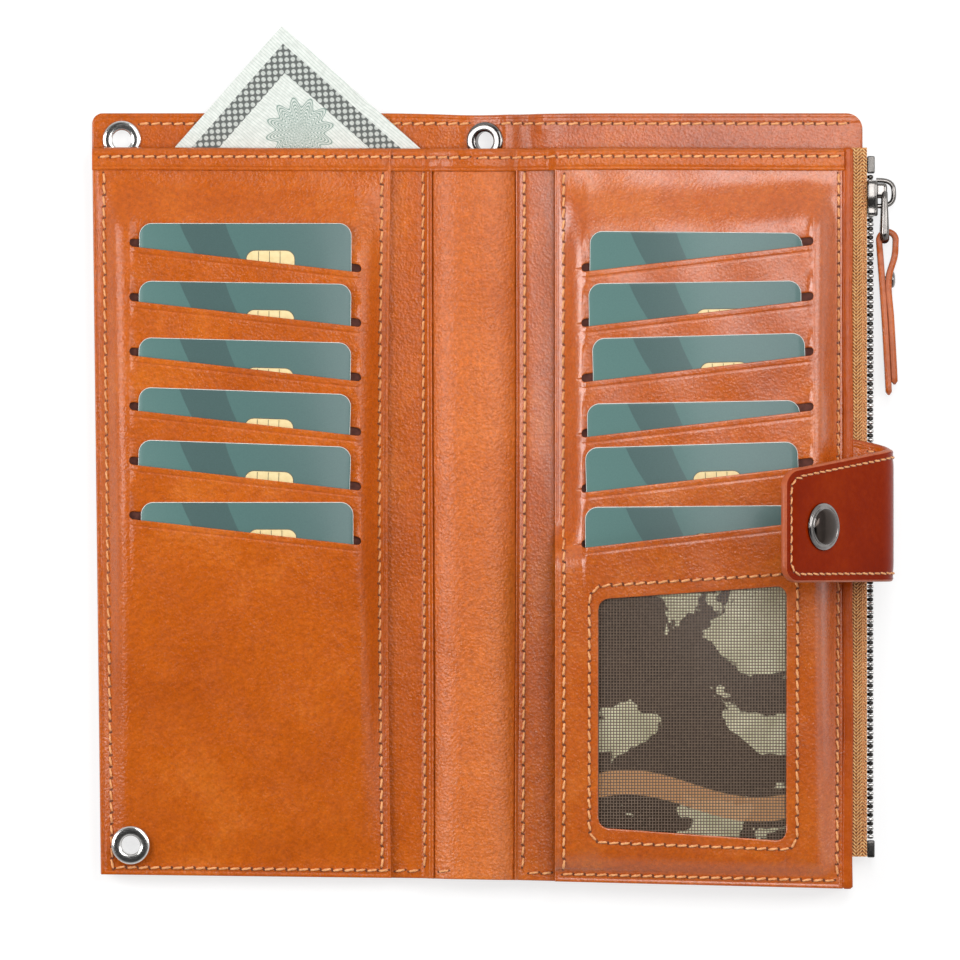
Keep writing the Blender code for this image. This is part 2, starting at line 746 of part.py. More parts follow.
def make_banknote():
    z = SHELL_THICK + LAYER_CLEARANCE + NOTE_THICK / 2
    turn = turned_by(-NOTE_ANGLE, "Z")
    apex = moved(NOTE_APEX_X, BODY_TOP + NOTE_RISE, z)
    place = apex @ turn @ moved(NOTE_WIDTH / 2, -NOTE_LENGTH / 2, 0)
    axis = add_axis("banknote_slide", place, left_axis)
    outline = ((-1, -1), (1, -1), (1, 1), (-1, 1))
    sections = [
        [(x * NOTE_WIDTH / 2, y * NOTE_LENGTH / 2, side * NOTE_THICK / 2) for x, y in outline]
        for side in (-1, 1)
    ]
    loft("banknote", "paper", sections, place, axis)


def eyelet(name, finish, top, under, place, parent):
    """A flanged tube through the layers, with a washer under them. Heights are along its own axis."""
    outside = EYELET_HOLE + EYELET_WALL
    flange = top + LAYER_CLEARANCE
    washer_top = under - LAYER_CLEARANCE
    foot = washer_top - WASHER_THICK
    soften = EYELET_THICK / 2
    turned("eyelet_" + name, finish, (
        (EYELET_HOLE, foot), (outside, foot), (outside, flange), (EYELET_FLANGE, flange),
        (EYELET_FLANGE, flange + soften), (EYELET_FLANGE - soften, flange + EYELET_THICK),
        (EYELET_HOLE + soften, flange + EYELET_THICK), (EYELET_HOLE, flange + soften),
    ), place, parent)
    inside = outside + LAYER_CLEARANCE
    turned("washer_" + name, finish, (
        (inside, foot), (EYELET_FLANGE, foot), (EYELET_FLANGE, washer_top), (inside, washer_top),
    ), place, parent)


def punch(targets, name, radius, place):
    """A round hole through the named layers."""
    reach = closed_thick
    cutter = turned(name, "nickel", ((0, -reach), (radius, -reach), (radius, reach), (0, reach)), place)
    for target in targets:
        cut(target, cutter)


def make_eyelets(top_layers, spine_layers, bottom_layers, spine_place):
    hole = EYELET_HOLE + EYELET_WALL + EYELET_HOLE_CLEARANCE
    top_place = moved(left_edge + TOP_EYELET_FROM_EDGE, shell_top_y - TOP_EYELET_FROM_RIM, 0)
    eyelet("top", "nickel", SHELL_THICK, 0, top_place, left_axis)
    punch(top_layers, "top_eyelet_hole", hole, top_place)
    half = SHELL_THICK / 2
    eyelet("spine", "gunmetal", half, -half, spine_place, spine_axis)
    punch(spine_layers, "spine_eyelet_hole", hole, spine_place)
    x = left_outer(-LEFT_LENGTH_BELOW) + BOTTOM_EYELET_FROM_EDGE
    y = BOTTOM_EYELET_UP - LEFT_LENGTH_BELOW
    under_flange = max(y + EYELET_FLANGE, left_cards.cards_end)
    top = left_cards.strip_z(SLIT_COUNT - 1, under_flange) + PANEL_THICK
    eyelet("bottom", "nickel", top, 0, moved(x, y, 0), left_axis)
    punch(bottom_layers, "bottom_eyelet_hole", hole, moved(x, y, 0))


def make_rivet_seat(shell, place):
    """Room for the stud's rivet where it comes near the rim of the shell."""
    low = SHELL_THICK + LAYER_CLEARANCE / 2
    radius = STUD_RIVET_RADIUS + EYELET_HOLE_CLEARANCE
    profile = ((0, low), (radius, low), (radius, liner_top), (0, liner_top))
    cut(shell, turned("rivet_seat", "nickel", profile, place))


# The strap runs out of the right leaf, round a bend, and up to the line where it gives way
strap_z = right_pocket_top + LAYER_CLEARANCE + STRAP_THICK / 2
strap_x = right_edge + STRAP_STRAIGHT + STRAP_BEND
closed_lean = math.radians(STRAP_REST_LEAN - STRAP_GIVE)
snap_stack = STUD_REACH + SNAP_CLEARANCE + STRAP_THICK / 2
give_z = closed_thick + snap_stack - STRAP_LINK * math.cos(closed_lean)
rest_lean = math.radians(STRAP_REST_LEAN)
snap_x = strap_x - STRAP_LINK * math.sin(rest_lean)
snap_z = give_z + STRAP_LINK * math.cos(rest_lean)
stud_x = -(strap_x - STRAP_LINK * math.sin(closed_lean) - STRAP_FLAP + SNAP_FROM_TIP)
strap_y = STRAP_BOTTOM + STRAP_TIP_WIDTH / 2


def strap_section(x, z, lean, width, half=STRAP_THICK / 2, inset=0):
    """Four corners square to the strap. lean is its angle from upright, towards the left leaf."""
    out = (math.cos(lean) * half, math.sin(lean) * half)
    low = STRAP_BOTTOM + inset
    high = STRAP_BOTTOM + width - inset
    return [
        (x + out[0], low, z + out[1]), (x + out[0], high, z + out[1]),
        (x - out[0], high, z - out[1]), (x - out[0], low, z - out[1]),
    ]


def along_strap(x, z, lean, distance):
    return x - math.sin(lean) * distance, z + math.cos(lean) * distance


def rounded_end(x, z, lean, width):
    half = STRAP_THICK / 2
    return [
        strap_section(*along_strap(x, z, lean, half * far), lean, width, half * thin)
        for far, thin in round_end_shares
    ]


def make_strap():
    flat = -math.pi / 2
    bend_x = right_edge + STRAP_STRAIGHT
    sections = [strap_section(right_panel_outer - STRAP_TAIL, strap_z, flat, STRAP_ROOT_WIDTH)]
    for step in range(BEND_STEPS + 1):
        share = step / BEND_STEPS
        lean = flat * (1 - share)
        x = bend_x + STRAP_BEND * math.cos(lean)
        z = strap_z + STRAP_BEND * (1 + math.sin(lean))
        width = mix(STRAP_ROOT_WIDTH, STRAP_BEND_WIDTH, share)
        sections.append(strap_section(x, z, lean, width))
    sections += rounded_end(strap_x, give_z, 0, STRAP_BEND_WIDTH)
    loft("strap_root", "dark_leather", sections)

    give_axis = add_axis("strap_give_axis", moved(strap_x, 0, give_z))
    start = along_strap(strap_x, give_z, rest_lean, STRAP_HINGE_GAP)
    width = mix(STRAP_BEND_WIDTH, STRAP_TIP_WIDTH, STRAP_LINK / (STRAP_LINK + STRAP_FLAP))
    sections = [strap_section(*start, rest_lean, STRAP_BEND_WIDTH)]
    sections += rounded_end(snap_x, snap_z, rest_lean, width)
    loft("strap_link", "dark_leather", sections, parent=give_axis)

    snap_axis = add_axis("strap_snap_axis", moved(snap_x, 0, snap_z), give_axis)
    sections = []
    straight = STRAP_FLAP - STRAP_CORNER
    for distance in (STRAP_HINGE_GAP, straight):
        here = mix(width, STRAP_TIP_WIDTH, distance / STRAP_FLAP)
        sections.append(strap_section(*along_strap(snap_x, snap_z, rest_lean, distance), rest_lean, here))
    for step in range(1, CORNER_STEPS + 1):
        turn = math.pi / 2 * step / CORNER_STEPS
        place = along_strap(snap_x, snap_z, rest_lean, straight + STRAP_CORNER * math.sin(turn))
        inset = STRAP_CORNER * (1 - math.cos(turn))
        sections.append(strap_section(*place, rest_lean, STRAP_TIP_WIDTH, inset=inset))
    tip = loft("strap_tip", "dark_leather", sections, parent=snap_axis)
    return tip, snap_axis


def make_snap(snap_axis):
    """The cap and socket on the strap's end, and the stud on the back of the left leaf."""
    x, z = along_strap(snap_x, snap_z, rest_lean, STRAP_FLAP - SNAP_FROM_TIP)
    place = moved(x, strap_y, z) @ Matrix.Rotation(math.pi / 2 - rest_lean, 4, "Y")
    surface = STRAP_THICK / 2 + LAYER_CLEARANCE
    dome = [(SNAP_RADIUS * out, surface + SNAP_DOME * up) for out, up in dome_shares]
    turned("snap_cap", "gunmetal", (
        (0, surface), (SNAP_RADIUS, surface), *dome, (0, surface + SNAP_DOME),
    ), place, snap_axis)
    turned("snap_socket", "gunmetal", (
        (SOCKET_BORE, -surface - SOCKET_DEPTH), (SOCKET_RADIUS, -surface - SOCKET_DEPTH),
        (SOCKET_RADIUS, -surface), (SOCKET_BORE, -surface),
    ), place, snap_axis)
    under = -LAYER_CLEARANCE - STUD_FLANGE_THICK
    foot = -STUD_REACH
    neck_top = mix(under, foot, stud_neck_share)
    bulge = mix(under, foot, stud_bulge_share)
    place = moved(stud_x, strap_y, 0)
    turned("snap_stud", "gunmetal", (
        (0, foot), (STUD_HEAD, foot), (STUD_HEAD, bulge), (STUD_NECK, neck_top),
        (STUD_NECK, under), (STUD_FLANGE, under), (STUD_FLANGE, -LAYER_CLEARANCE),
        (STUD_POST, -LAYER_CLEARANCE), (STUD_POST, SHELL_THICK), (0, SHELL_THICK),
    ), place, left_axis)
    cap = SHELL_THICK + LAYER_CLEARANCE
    turned("stud_rivet", "gunmetal", (
        (0, cap), (STUD_RIVET_RADIUS, cap), (STUD_RIVET_RADIUS, cap + STUD_RIVET_THICK / 2),
        (STUD_RIVET_RADIUS - STUD_RIVET_THICK, cap + STUD_RIVET_THICK), (0, cap + STUD_RIVET_THICK),
    ), place, left_axis)
    return place


# The zip's chain stands on edge beyond the right leaf, and its tapes run back to the two skins
chain_low_x = right_edge + CHAIN_FROM_EDGE
chain_high_x = chain_low_x + CHAIN_THICK
chain_z = SLIDER_HALF + SLIDER_OFF_TABLE
zip_top = BODY_TOP - ZIP_TOP_BELOW_HEM
slider_top = zip_top - SLIDER_BELOW_TOP
slider_low = slider_top - SLIDER_LENGTH
plate_low_x = chain_high_x + SLIDER_CLEARANCE
plate_high_x = plate_low_x + SLIDER_PLATE
pivot_x = plate_high_x + BAIL_REACH / 2
pivot_y = slider_top - BAIL_LENGTH / 2
zip_travel = slider_low - ZIP_BOTTOM - CHAIN_GAP


def make_zip():
    ends = (ZIP_BOTTOM - STOP_LENGTH, BODY_TOP)
    half = TAPE_THICK / 2
    chain_side = chain_low_x - LAYER_CLEARANCE
    back_z = SHELL_THICK + LAYER_CLEARANCE + half
    front_z = right_pocket_low - LAYER_CLEARANCE - half
    tapes = (
        ("zip_tape_back", right_edge - TAPE_EDGE / 2, back_z, chain_z - CHAIN_HALF + TAPE_THICK),
        ("zip_tape_front", right_edge - EDGE_BINDING_WIDTH, front_z, chain_z + CHAIN_HALF - TAPE_THICK),
    )
    for name, start, first_z, last_z in tapes:
        centre = ((start, first_z), (right_edge + STRAP_STRAIGHT, first_z), (chain_side, last_z))
        upper = [(x, z + half) for x, z in centre]
        lower = [(x, z - half) for x, z in reversed(centre)]
        loft(name, "tape", [[(x, y, z) for x, z in upper + lower] for y in ends])
    teeth = int((zip_top - ZIP_BOTTOM) / TOOTH_PITCH)
    for side, name in ((1, "zip_teeth_front"), (-1, "zip_teeth_back")):
        far = chain_z + side * CHAIN_HALF
        near = chain_z + side * CHAIN_GAP / 2
        edge = [
            (ZIP_BOTTOM + step * TOOTH_PITCH / 2, near + (step % 2 - 0.5) * TOOTH_WAVE)
            for step in range(2 * teeth + 1)
        ]
        outline = [(edge[0][0], far), *edge, (edge[-1][0], far)]
        loft(name, "gunmetal", [[(x, y, z) for y, z in outline] for x in (chain_low_x, chain_high_x)])


def stop_block(name, ends, levels):
    """A clamped metal stop with its outer edges taken off."""
    soften = CHAIN_GAP
    low, high = levels
    outline = (
        (chain_low_x, low), (chain_high_x, low), (chain_high_x + soften, low + soften),
        (chain_high_x + soften, high - soften), (chain_high_x, high), (chain_low_x, high),
    )
    loft(name, "gunmetal", [[(x, y, z) for x, z in outline] for y in ends])


def make_stops():
    above = (zip_top + CHAIN_GAP, zip_top + CHAIN_GAP + STOP_LENGTH)
    stop_block("zip_top_stop_front", above, (chain_z + CHAIN_GAP, chain_z + CHAIN_HALF))
    stop_block("zip_top_stop_back", above, (chain_z - CHAIN_HALF, chain_z - CHAIN_GAP))
    below = (ZIP_BOTTOM - CHAIN_GAP - STOP_LENGTH, ZIP_BOTTOM - CHAIN_GAP)
    stop_block("zip_bottom_stop", below, (chain_z - CHAIN_HALF, chain_z + CHAIN_HALF))


def make_slider():
    """A channel over the chain, with a bail on its face for the pull."""
    axis = add_axis("zip_slide_axis", moved(plate_low_x, slider_low, chain_z))
    inside = CHAIN_HALF + SLIDER_CLEARANCE
    outline = (
        (chain_low_x, -SLIDER_HALF), (plate_high_x, -SLIDER_HALF), (plate_high_x, SLIDER_HALF),
        (chain_low_x, SLIDER_HALF), (chain_low_x, inside), (plate_low_x, inside),
        (plate_low_x, -inside), (chain_low_x, -inside),
    )
    ends = (slider_low, slider_top)
    sections = [[(x, y, chain_z + z) for x, z in outline] for y in ends]
    slider = loft("zip_slider", "gunmetal", sections, parent=axis)
    root_x = plate_high_x - SLIDER_PLATE / 2
    reach = plate_high_x + BAIL_REACH
    outer = BAIL_LENGTH / 2
    inner = outer - BAIL_WIRE
    outline = (
        (root_x, -outer), (reach, -outer), (reach + BAIL_WIRE, -inner), (reach + BAIL_WIRE, inner),
        (reach, outer), (root_x, outer), (root_x, inner), (reach, inner), (reach, -inner),
        (root_x, -inner),
    )
    half = BAIL_WIRE / 2
    sections = [[(x, pivot_y + y, chain_z + z) for x, y in outline] for z in (-half, half)]
    join(slider, loft("bail_shape", "gunmetal", sections, parent=axis))
    return axis


def make_pull(slider_axis):
    """A wire link on the bail, and a leather tab folded over the link and riveted."""
    axis = add_axis("pull_axis", moved(pivot_x, pivot_y, chain_z), slider_axis)
    half = LINK_WIRE / 2
    across = (-LINK_WIDTH / 2, LINK_WIRE - LINK_WIDTH / 2, LINK_WIDTH / 2 - LINK_WIRE, LINK_WIDTH / 2)
    downs = (-LINK_LENGTH - half, half - LINK_LENGTH, -half, half)
    rows = [[(u, v, -half, half) for u in across] for v in downs]
    facing = moved(pivot_x, pivot_y, chain_z) @ turned_by(90, "Y")
    sheet("pull_link", "gunmetal", rows, {(1, 1)}, facing, axis)

    bar_y = pivot_y - LINK_LENGTH
    tab_axis = add_axis("tab_axis", moved(pivot_x, bar_y, chain_z), axis)
    left = -half - TAB_GAP
    right = left + TAB_MOUTH
    middle = (left + right) / 2
    fold = TAB_MOUTH / 2
    end = -TAB_LENGTH
    tip_left = left - TAB_THICK + TAB_LEAN
    tip_right = tip_left + 2 * TAB_THICK + TAB_GAP

    def fold_arc(radius, direction):
        turns = [math.pi * step / FOLD_STEPS for step in range(FOLD_STEPS + 1)]
        arc = [(middle - radius * math.cos(turn), radius * math.sin(turn)) for turn in turns]
        return arc[::direction]

    outline = [(tip_left, end), *fold_arc(fold + TAB_THICK, 1), (tip_right, end)]
    outline += [(tip_right - TAB_THICK, end), *fold_arc(fold, -1), (tip_left + TAB_THICK, end)]
    sections = [
        [(pivot_x + x, bar_y + y, chain_z + z) for x, y in outline]
        for z in (-TAB_WIDTH / 2, TAB_WIDTH / 2)
    ]
    tab = loft("pull_tab", "leather", sections, parent=tab_axis)
    far = TAB_LENGTH
    notch = ((-far, -TAB_NECK), (far, -TAB_NECK), (far, far), (-far, far))
    for side in (-1, 1):
        levels = (side * TAB_FOLD_WIDTH / 2, side * TAB_WIDTH)
        sections = [[(pivot_x + x, bar_y + y, chain_z + z) for x, y in notch] for z in levels]
        cut(tab, loft(f"tab_notch_{side}", "leather", sections, parent=tab_axis))
    share = TAB_RIVET_DOWN / TAB_LENGTH
    outside = mix(right + TAB_THICK, tip_right, share) + TAB_GAP
    inside = mix(left - TAB_THICK, tip_left, share) + TAB_GAP
    place = moved(pivot_x, bar_y - TAB_RIVET_DOWN, chain_z) @ turned_by(90, "Y")
    head = outside + TAB_RIVET_HEAD
    edge = mix(outside, head, rivet_edge_share)
    turned("tab_rivet", "gunmetal", (
        (0, inside), (TAB_RIVET_POST, inside), (TAB_RIVET_POST, outside), (TAB_RIVET_RADIUS, outside),
        (TAB_RIVET_RADIUS, edge), (TAB_RIVET_RADIUS * rivet_top_share, head), (0, head),
    ), place, tab_axis, sides=ROUND_SIDES - CORNER_STEPS)
    bore = TAB_RIVET_POST + LAYER_CLEARANCE
    reach = TAB_MOUTH + 2 * TAB_THICK
    cut(tab, turned("tab_rivet_hole", "gunmetal", (
        (0, -reach), (bore, -reach), (bore, 2 * reach), (0, 2 * reach),
    ), place, tab_axis))


left_shell = make_shells()
spine_shell, spine_eyelet_place = make_spine_shell()
left_liner = make_liners()
left_pocket = make_pocket_panels()
left_lining = make_linings()
left_panel = make_card_panel(
    "card_panel_left", left_cards, (left_panel_outer, left_panel_inner), 0, False, left_axis
)
make_card_panel(
    "card_panel_right", right_cards, (right_panel_inner, right_panel_outer), id_rise, True
)
make_window()
make_hems()
make_edge_binding()
make_cards("left", left_cards, LEFT_CARD_SHIFTS, left_axis)
make_cards("right", right_cards, RIGHT_CARD_SHIFTS, None)
make_id_card()
make_banknote()
make_eyelets(
    [left_shell], [spine_shell],
    [left_shell, left_liner, left_pocket, left_lining, left_panel], spine_eyelet_place,
)
strap_tip, snap_hinge = make_strap()
stud_place = make_snap(snap_hinge)
punch([left_shell], "stud_hole", STUD_POST + EYELET_HOLE_CLEARANCE, stud_place)
make_rivet_seat(left_shell, stud_place)
make_zip()
make_stops()
make_pull(make_slider())
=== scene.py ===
import json
import math
import bpy
import bmesh
import numpy as np
from mathutils import Matrix, Vector
from mathutils.bvhtree import BVHTree

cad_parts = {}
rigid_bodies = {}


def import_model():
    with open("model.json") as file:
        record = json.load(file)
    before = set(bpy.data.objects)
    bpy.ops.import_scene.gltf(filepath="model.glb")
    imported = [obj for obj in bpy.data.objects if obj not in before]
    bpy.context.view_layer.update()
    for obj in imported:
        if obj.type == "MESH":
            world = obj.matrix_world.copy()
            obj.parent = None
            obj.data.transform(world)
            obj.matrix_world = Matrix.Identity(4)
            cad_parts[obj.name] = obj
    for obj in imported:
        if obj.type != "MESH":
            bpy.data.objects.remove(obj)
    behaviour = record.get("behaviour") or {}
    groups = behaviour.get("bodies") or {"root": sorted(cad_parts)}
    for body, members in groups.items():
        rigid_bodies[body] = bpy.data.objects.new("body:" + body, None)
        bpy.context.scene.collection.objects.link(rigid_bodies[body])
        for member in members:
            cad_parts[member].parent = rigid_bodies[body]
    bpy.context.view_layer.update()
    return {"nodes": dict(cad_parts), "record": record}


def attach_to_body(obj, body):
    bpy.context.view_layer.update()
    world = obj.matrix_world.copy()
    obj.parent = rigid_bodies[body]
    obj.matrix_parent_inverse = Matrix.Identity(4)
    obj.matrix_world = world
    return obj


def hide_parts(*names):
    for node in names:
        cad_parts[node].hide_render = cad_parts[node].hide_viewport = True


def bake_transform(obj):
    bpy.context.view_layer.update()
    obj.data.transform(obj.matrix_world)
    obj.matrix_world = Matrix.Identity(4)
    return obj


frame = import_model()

mm = 0.001  # everything below is written in millimetres
nodes = frame["nodes"]
print("frame loaded:", len(nodes), "CAD nodes")

# where the wallet's own lines run, in mm: X to the right, Y up to the hem, Z out of the open face
wallet = {
    "left": -97.5, "right": 96.0, "top": 101.8,
    "hemTop": 92.9, "hemLow": 87.0, "bottomLeft": -92.4, "bottomSpine": -93.6, "bottomRight": -96.0,
    "leftTaper": 2.2, "foldFrom": 17.2, "foldTo": 6.2,
}
eyelets = {"top": (-89.9, 95.0), "spine": (3.0, 94.6), "bottom": (-87.5, -84.9), "hole": 2.8, "flange": 4.9}


def step(x, a, b):  # smooth 0 to 1 between a and b
    t = np.clip((np.asarray(x, float) - a) / (b - a), 0, 1)
    return t * t * (3 - 2 * t)


def bottomEdge(x):
    x = np.asarray(x, float)
    left = wallet["bottomSpine"] + (wallet["bottomLeft"] - wallet["bottomSpine"]) * (-x / -wallet["left"])
    right = wallet["bottomSpine"] + (wallet["bottomRight"] - wallet["bottomSpine"]) * (x / wallet["right"])
    return np.where(x < 0, left, right)


def leftOuter(y):
    share = (wallet["hemTop"] - np.asarray(y, float)) / (wallet["hemTop"] - wallet["bottomLeft"])
    return wallet["left"] + wallet["leftTaper"] * np.clip(share, 0, 1)


def roundOff(distance, thick):  # how far a cut edge falls away, as a quarter round
    r = thick * 0.46
    d = np.clip(distance, 0, r)
    return r - np.sqrt(np.maximum(r * r - (r - d) ** 2, 0))


def softLine(distance, size, width):  # a soft fold or pressed line, size deep where distance is 0
    return size * np.exp(-(distance / width) ** 2)


def power(value, exponent):  # keeps the sign, so that rings turn into rounded boxes
    return math.copysign(abs(value) ** exponent, value)


def spaced(a, b, size):
    count = max(1, int(round(abs(b - a) / size)))
    return list(np.linspace(a, b, count + 1))


def ringFaces(rings, count, start=0):  # the sides between rings of count points each
    return [(start + s * count + k, start + s * count + (k + 1) % count,
             start + (s + 1) * count + (k + 1) % count, start + (s + 1) * count + k)
            for s in range(rings - 1) for k in range(count)]


def endCaps(rings, count, start=0):
    last = start + (rings - 1) * count
    return [tuple(range(start, start + count)), tuple(range(last, last + count))]


def ringedSolid(sections):  # points and faces of a solid that is closed at its first and last section
    count = len(sections[0])
    return [p for s in sections for p in s], ringFaces(len(sections), count) + endCaps(len(sections), count)


def newObject(name, mesh, material=None):
    obj = bpy.data.objects.new(name, mesh)
    bpy.context.scene.collection.objects.link(obj)
    if material is not None:
        for m in material if isinstance(material, (list, tuple)) else [material]:
            mesh.materials.append(m)
    return obj


def meshObject(name, points, faces, material=None, smooth=True, marks=None, weld=0.0):
    mesh = bpy.data.meshes.new(name)
    scaled = (np.asarray(points, float) * mm).tolist()
    mesh.from_pydata(scaled, [], faces)
    if marks is not None:
        mesh.polygons.foreach_set("material_index", marks)
    work = bmesh.new()
    work.from_mesh(mesh)
    if weld:
        bmesh.ops.remove_doubles(work, verts=work.verts, dist=weld * mm)
        bmesh.ops.dissolve_degenerate(work, edges=work.edges, dist=weld * mm)
    loose = [v for v in work.verts if not v.link_faces]
    bmesh.ops.delete(work, geom=loose, context="VERTS")
    bmesh.ops.recalc_face_normals(work, faces=work.faces)
    work.to_mesh(mesh)
    work.free()
    if smooth:
        mesh.shade_smooth()
    return newObject(name, mesh, material)


def sheetObject(name, gridX, gridY, top, low, material, holes=None, weld=0.004, sharp=None):
    # a closed sheet over a grid: gridX, gridY, top and low hold rows of points; holes marks the open cells
    rows, cols = gridX.shape
    count = rows * cols
    points = np.concatenate([
        np.stack([gridX, gridY, low], -1).reshape(-1, 3), np.stack([gridX, gridY, top], -1).reshape(-1, 3),
    ])
    index = np.arange(count).reshape(rows, cols)
    solid = np.ones((rows - 1, cols - 1), bool) if holes is None else ~holes
    a = index[:-1, :-1][solid]
    b = index[:-1, 1:][solid]
    c = index[1:, 1:][solid]
    d = index[1:, :-1][solid]
    lower = np.stack([a, d, c, b], -1)
    upper = np.stack([a, b, c, d], -1) + count
    edges = {}
    for p, q in ((a, b), (b, c), (c, d), (d, a)):
        for i, j in zip(p.tolist(), q.tolist()):
            key = (i, j) if i < j else (j, i)
            edges[key] = None if key in edges else (i, j)
    sides = [(e[0], e[1], e[1] + count, e[0] + count) for e in edges.values() if e]
    faces = lower.tolist() + upper.tolist() + sides
    obj = meshObject(name, points, faces, material, weld=weld)
    if sharp:
        obj.data.set_sharp_from_angle(angle=math.radians(sharp))
    return obj


def punched(obj, *which):  # the bores the eyelets are set in
    for key in which:
        cutter = bmesh.new()
        bmesh.ops.create_cone(cutter, cap_ends=True, segments=36, depth=0.06,
                              radius1=eyelets["hole"] * mm, radius2=eyelets["hole"] * mm)
        bmesh.ops.translate(cutter, verts=cutter.verts, vec=(eyelets[key][0] * mm, eyelets[key][1] * mm, 0))
        mesh = bpy.data.meshes.new("cutter")
        cutter.to_mesh(mesh)
        cutter.free()
        tool = newObject("cutter", mesh)
        hole = obj.modifiers.new("hole", "BOOLEAN")
        hole.operation, hole.solver, hole.object = "DIFFERENCE", "EXACT", tool
        bpy.context.view_layer.update()
        shaped = bpy.data.meshes.new_from_object(obj.evaluated_get(bpy.context.evaluated_depsgraph_get()))
        obj.modifiers.clear()
        old, obj.data = obj.data, shaped
        bpy.data.meshes.remove(old)
        bpy.data.objects.remove(tool)
        bpy.data.meshes.remove(mesh)
        shaped.name = obj.name
        shaped.set_sharp_from_angle(angle=math.radians(50))
    return obj


def rideOn(obj, body, replaced=()):
    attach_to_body(obj, body)
    if replaced:
        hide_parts(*replaced)
    return obj


def bendAcross(obj, side, replaced=()):
    # bakes the piece's place into its mesh and hides the CAD nodes it replaces; it is not bent here
    if side > 0:
        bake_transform(obj)
    else:
        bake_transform(obj)
    if replaced:
        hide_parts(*replaced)
    return obj


# finishes
def newMaterial(name):
    material = bpy.data.materials.new(name)
    material.use_nodes = True
    tree = material.node_tree
    shader = tree.nodes["Principled BSDF"]
    return material, tree, shader


def addNode(tree, kind, **values):
    node = tree.nodes.new(kind)
    for key, value in values.items():
        if hasattr(node, key):
            setattr(node, key, value)
        else:
            node.inputs[key.replace("_", " ")].default_value = value
    return node


def linked(tree, source, target):
    tree.links.new(source, target)


def colourRamp(tree, source, stops):
    ramp = tree.nodes.new("ShaderNodeValToRGB")
    elements = ramp.color_ramp.elements
    while len(elements) < len(stops):
        elements.new(0.5)
    for element, (place, colour) in zip(elements, stops):
        element.position = place
        element.color = (*colour, 1) if len(colour) == 3 else colour
    linked(tree, source, ramp.inputs["Fac"])
    return ramp.outputs["Color"]


def numberRamp(tree, source, low, high, outLow, outHigh):
    node = addNode(tree, "ShaderNodeMapRange")
    for key, value in zip(("From Min", "From Max", "To Min", "To Max"), (low, high, outLow, outHigh)):
        node.inputs[key].default_value = value
    linked(tree, source, node.inputs["Value"])
    return node.outputs["Result"]


def objectPlace(tree, scale=(1, 1, 1)):
    coords = tree.nodes.new("ShaderNodeTexCoord")
    mapping = tree.nodes.new("ShaderNodeMapping")
    mapping.inputs["Scale"].default_value = scale
    linked(tree, coords.outputs["Object"], mapping.inputs["Vector"])
    return mapping.outputs["Vector"]


def noiseOf(tree, place, scale, detail=3.0, rough=0.5, distort=0.0):
    node = addNode(tree, "ShaderNodeTexNoise", Scale=scale, Detail=detail, Roughness=rough,
                   Distortion=distort)
    linked(tree, place, node.inputs["Vector"])
    return node.outputs["Fac"]


def mixed(tree, share, a, b, how="MIX"):
    node = tree.nodes.new("ShaderNodeMix")
    node.data_type = "RGBA"
    node.blend_type = how
    for socket, value in ((node.inputs[0], share), (node.inputs[6], a), (node.inputs[7], b)):
        if isinstance(value, (int, float)):
            socket.default_value = value
        elif isinstance(value, (tuple, list)):
            socket.default_value = (*value, 1)
        else:
            linked(tree, value, socket)
    return node.outputs[2]


def mathOf(tree, how, a, b=None, c=None, clamp=False):
    node = tree.nodes.new("ShaderNodeMath")
    node.operation = how
    node.use_clamp = clamp
    for socket, value in zip(node.inputs, (a, b, c)):
        if value is None:
            continue
        if isinstance(value, (int, float)):
            socket.default_value = value
        else:
            linked(tree, value, socket)
    return node.outputs[0]


def plus(tree, a, b):
    return mathOf(tree, "ADD", a, b)


def minus(tree, a, b):
    return mathOf(tree, "SUBTRACT", a, b)


def times(tree, a, b, clamp=False):
    return mathOf(tree, "MULTIPLY", a, b, clamp=clamp)


def bumped(tree, shader, heights):
    # heights: (socket, distance in mm, strength), laid over one another
    normal = None
    for height, distance, strength in heights:
        bump = tree.nodes.new("ShaderNodeBump")
        bump.inputs["Distance"].default_value = distance * mm
        bump.inputs["Strength"].default_value = strength
        linked(tree, height, bump.inputs["Height"])
        if normal is not None:
            linked(tree, normal, bump.inputs["Normal"])
        normal = bump.outputs["Normal"]
    linked(tree, normal, shader.inputs["Normal"])


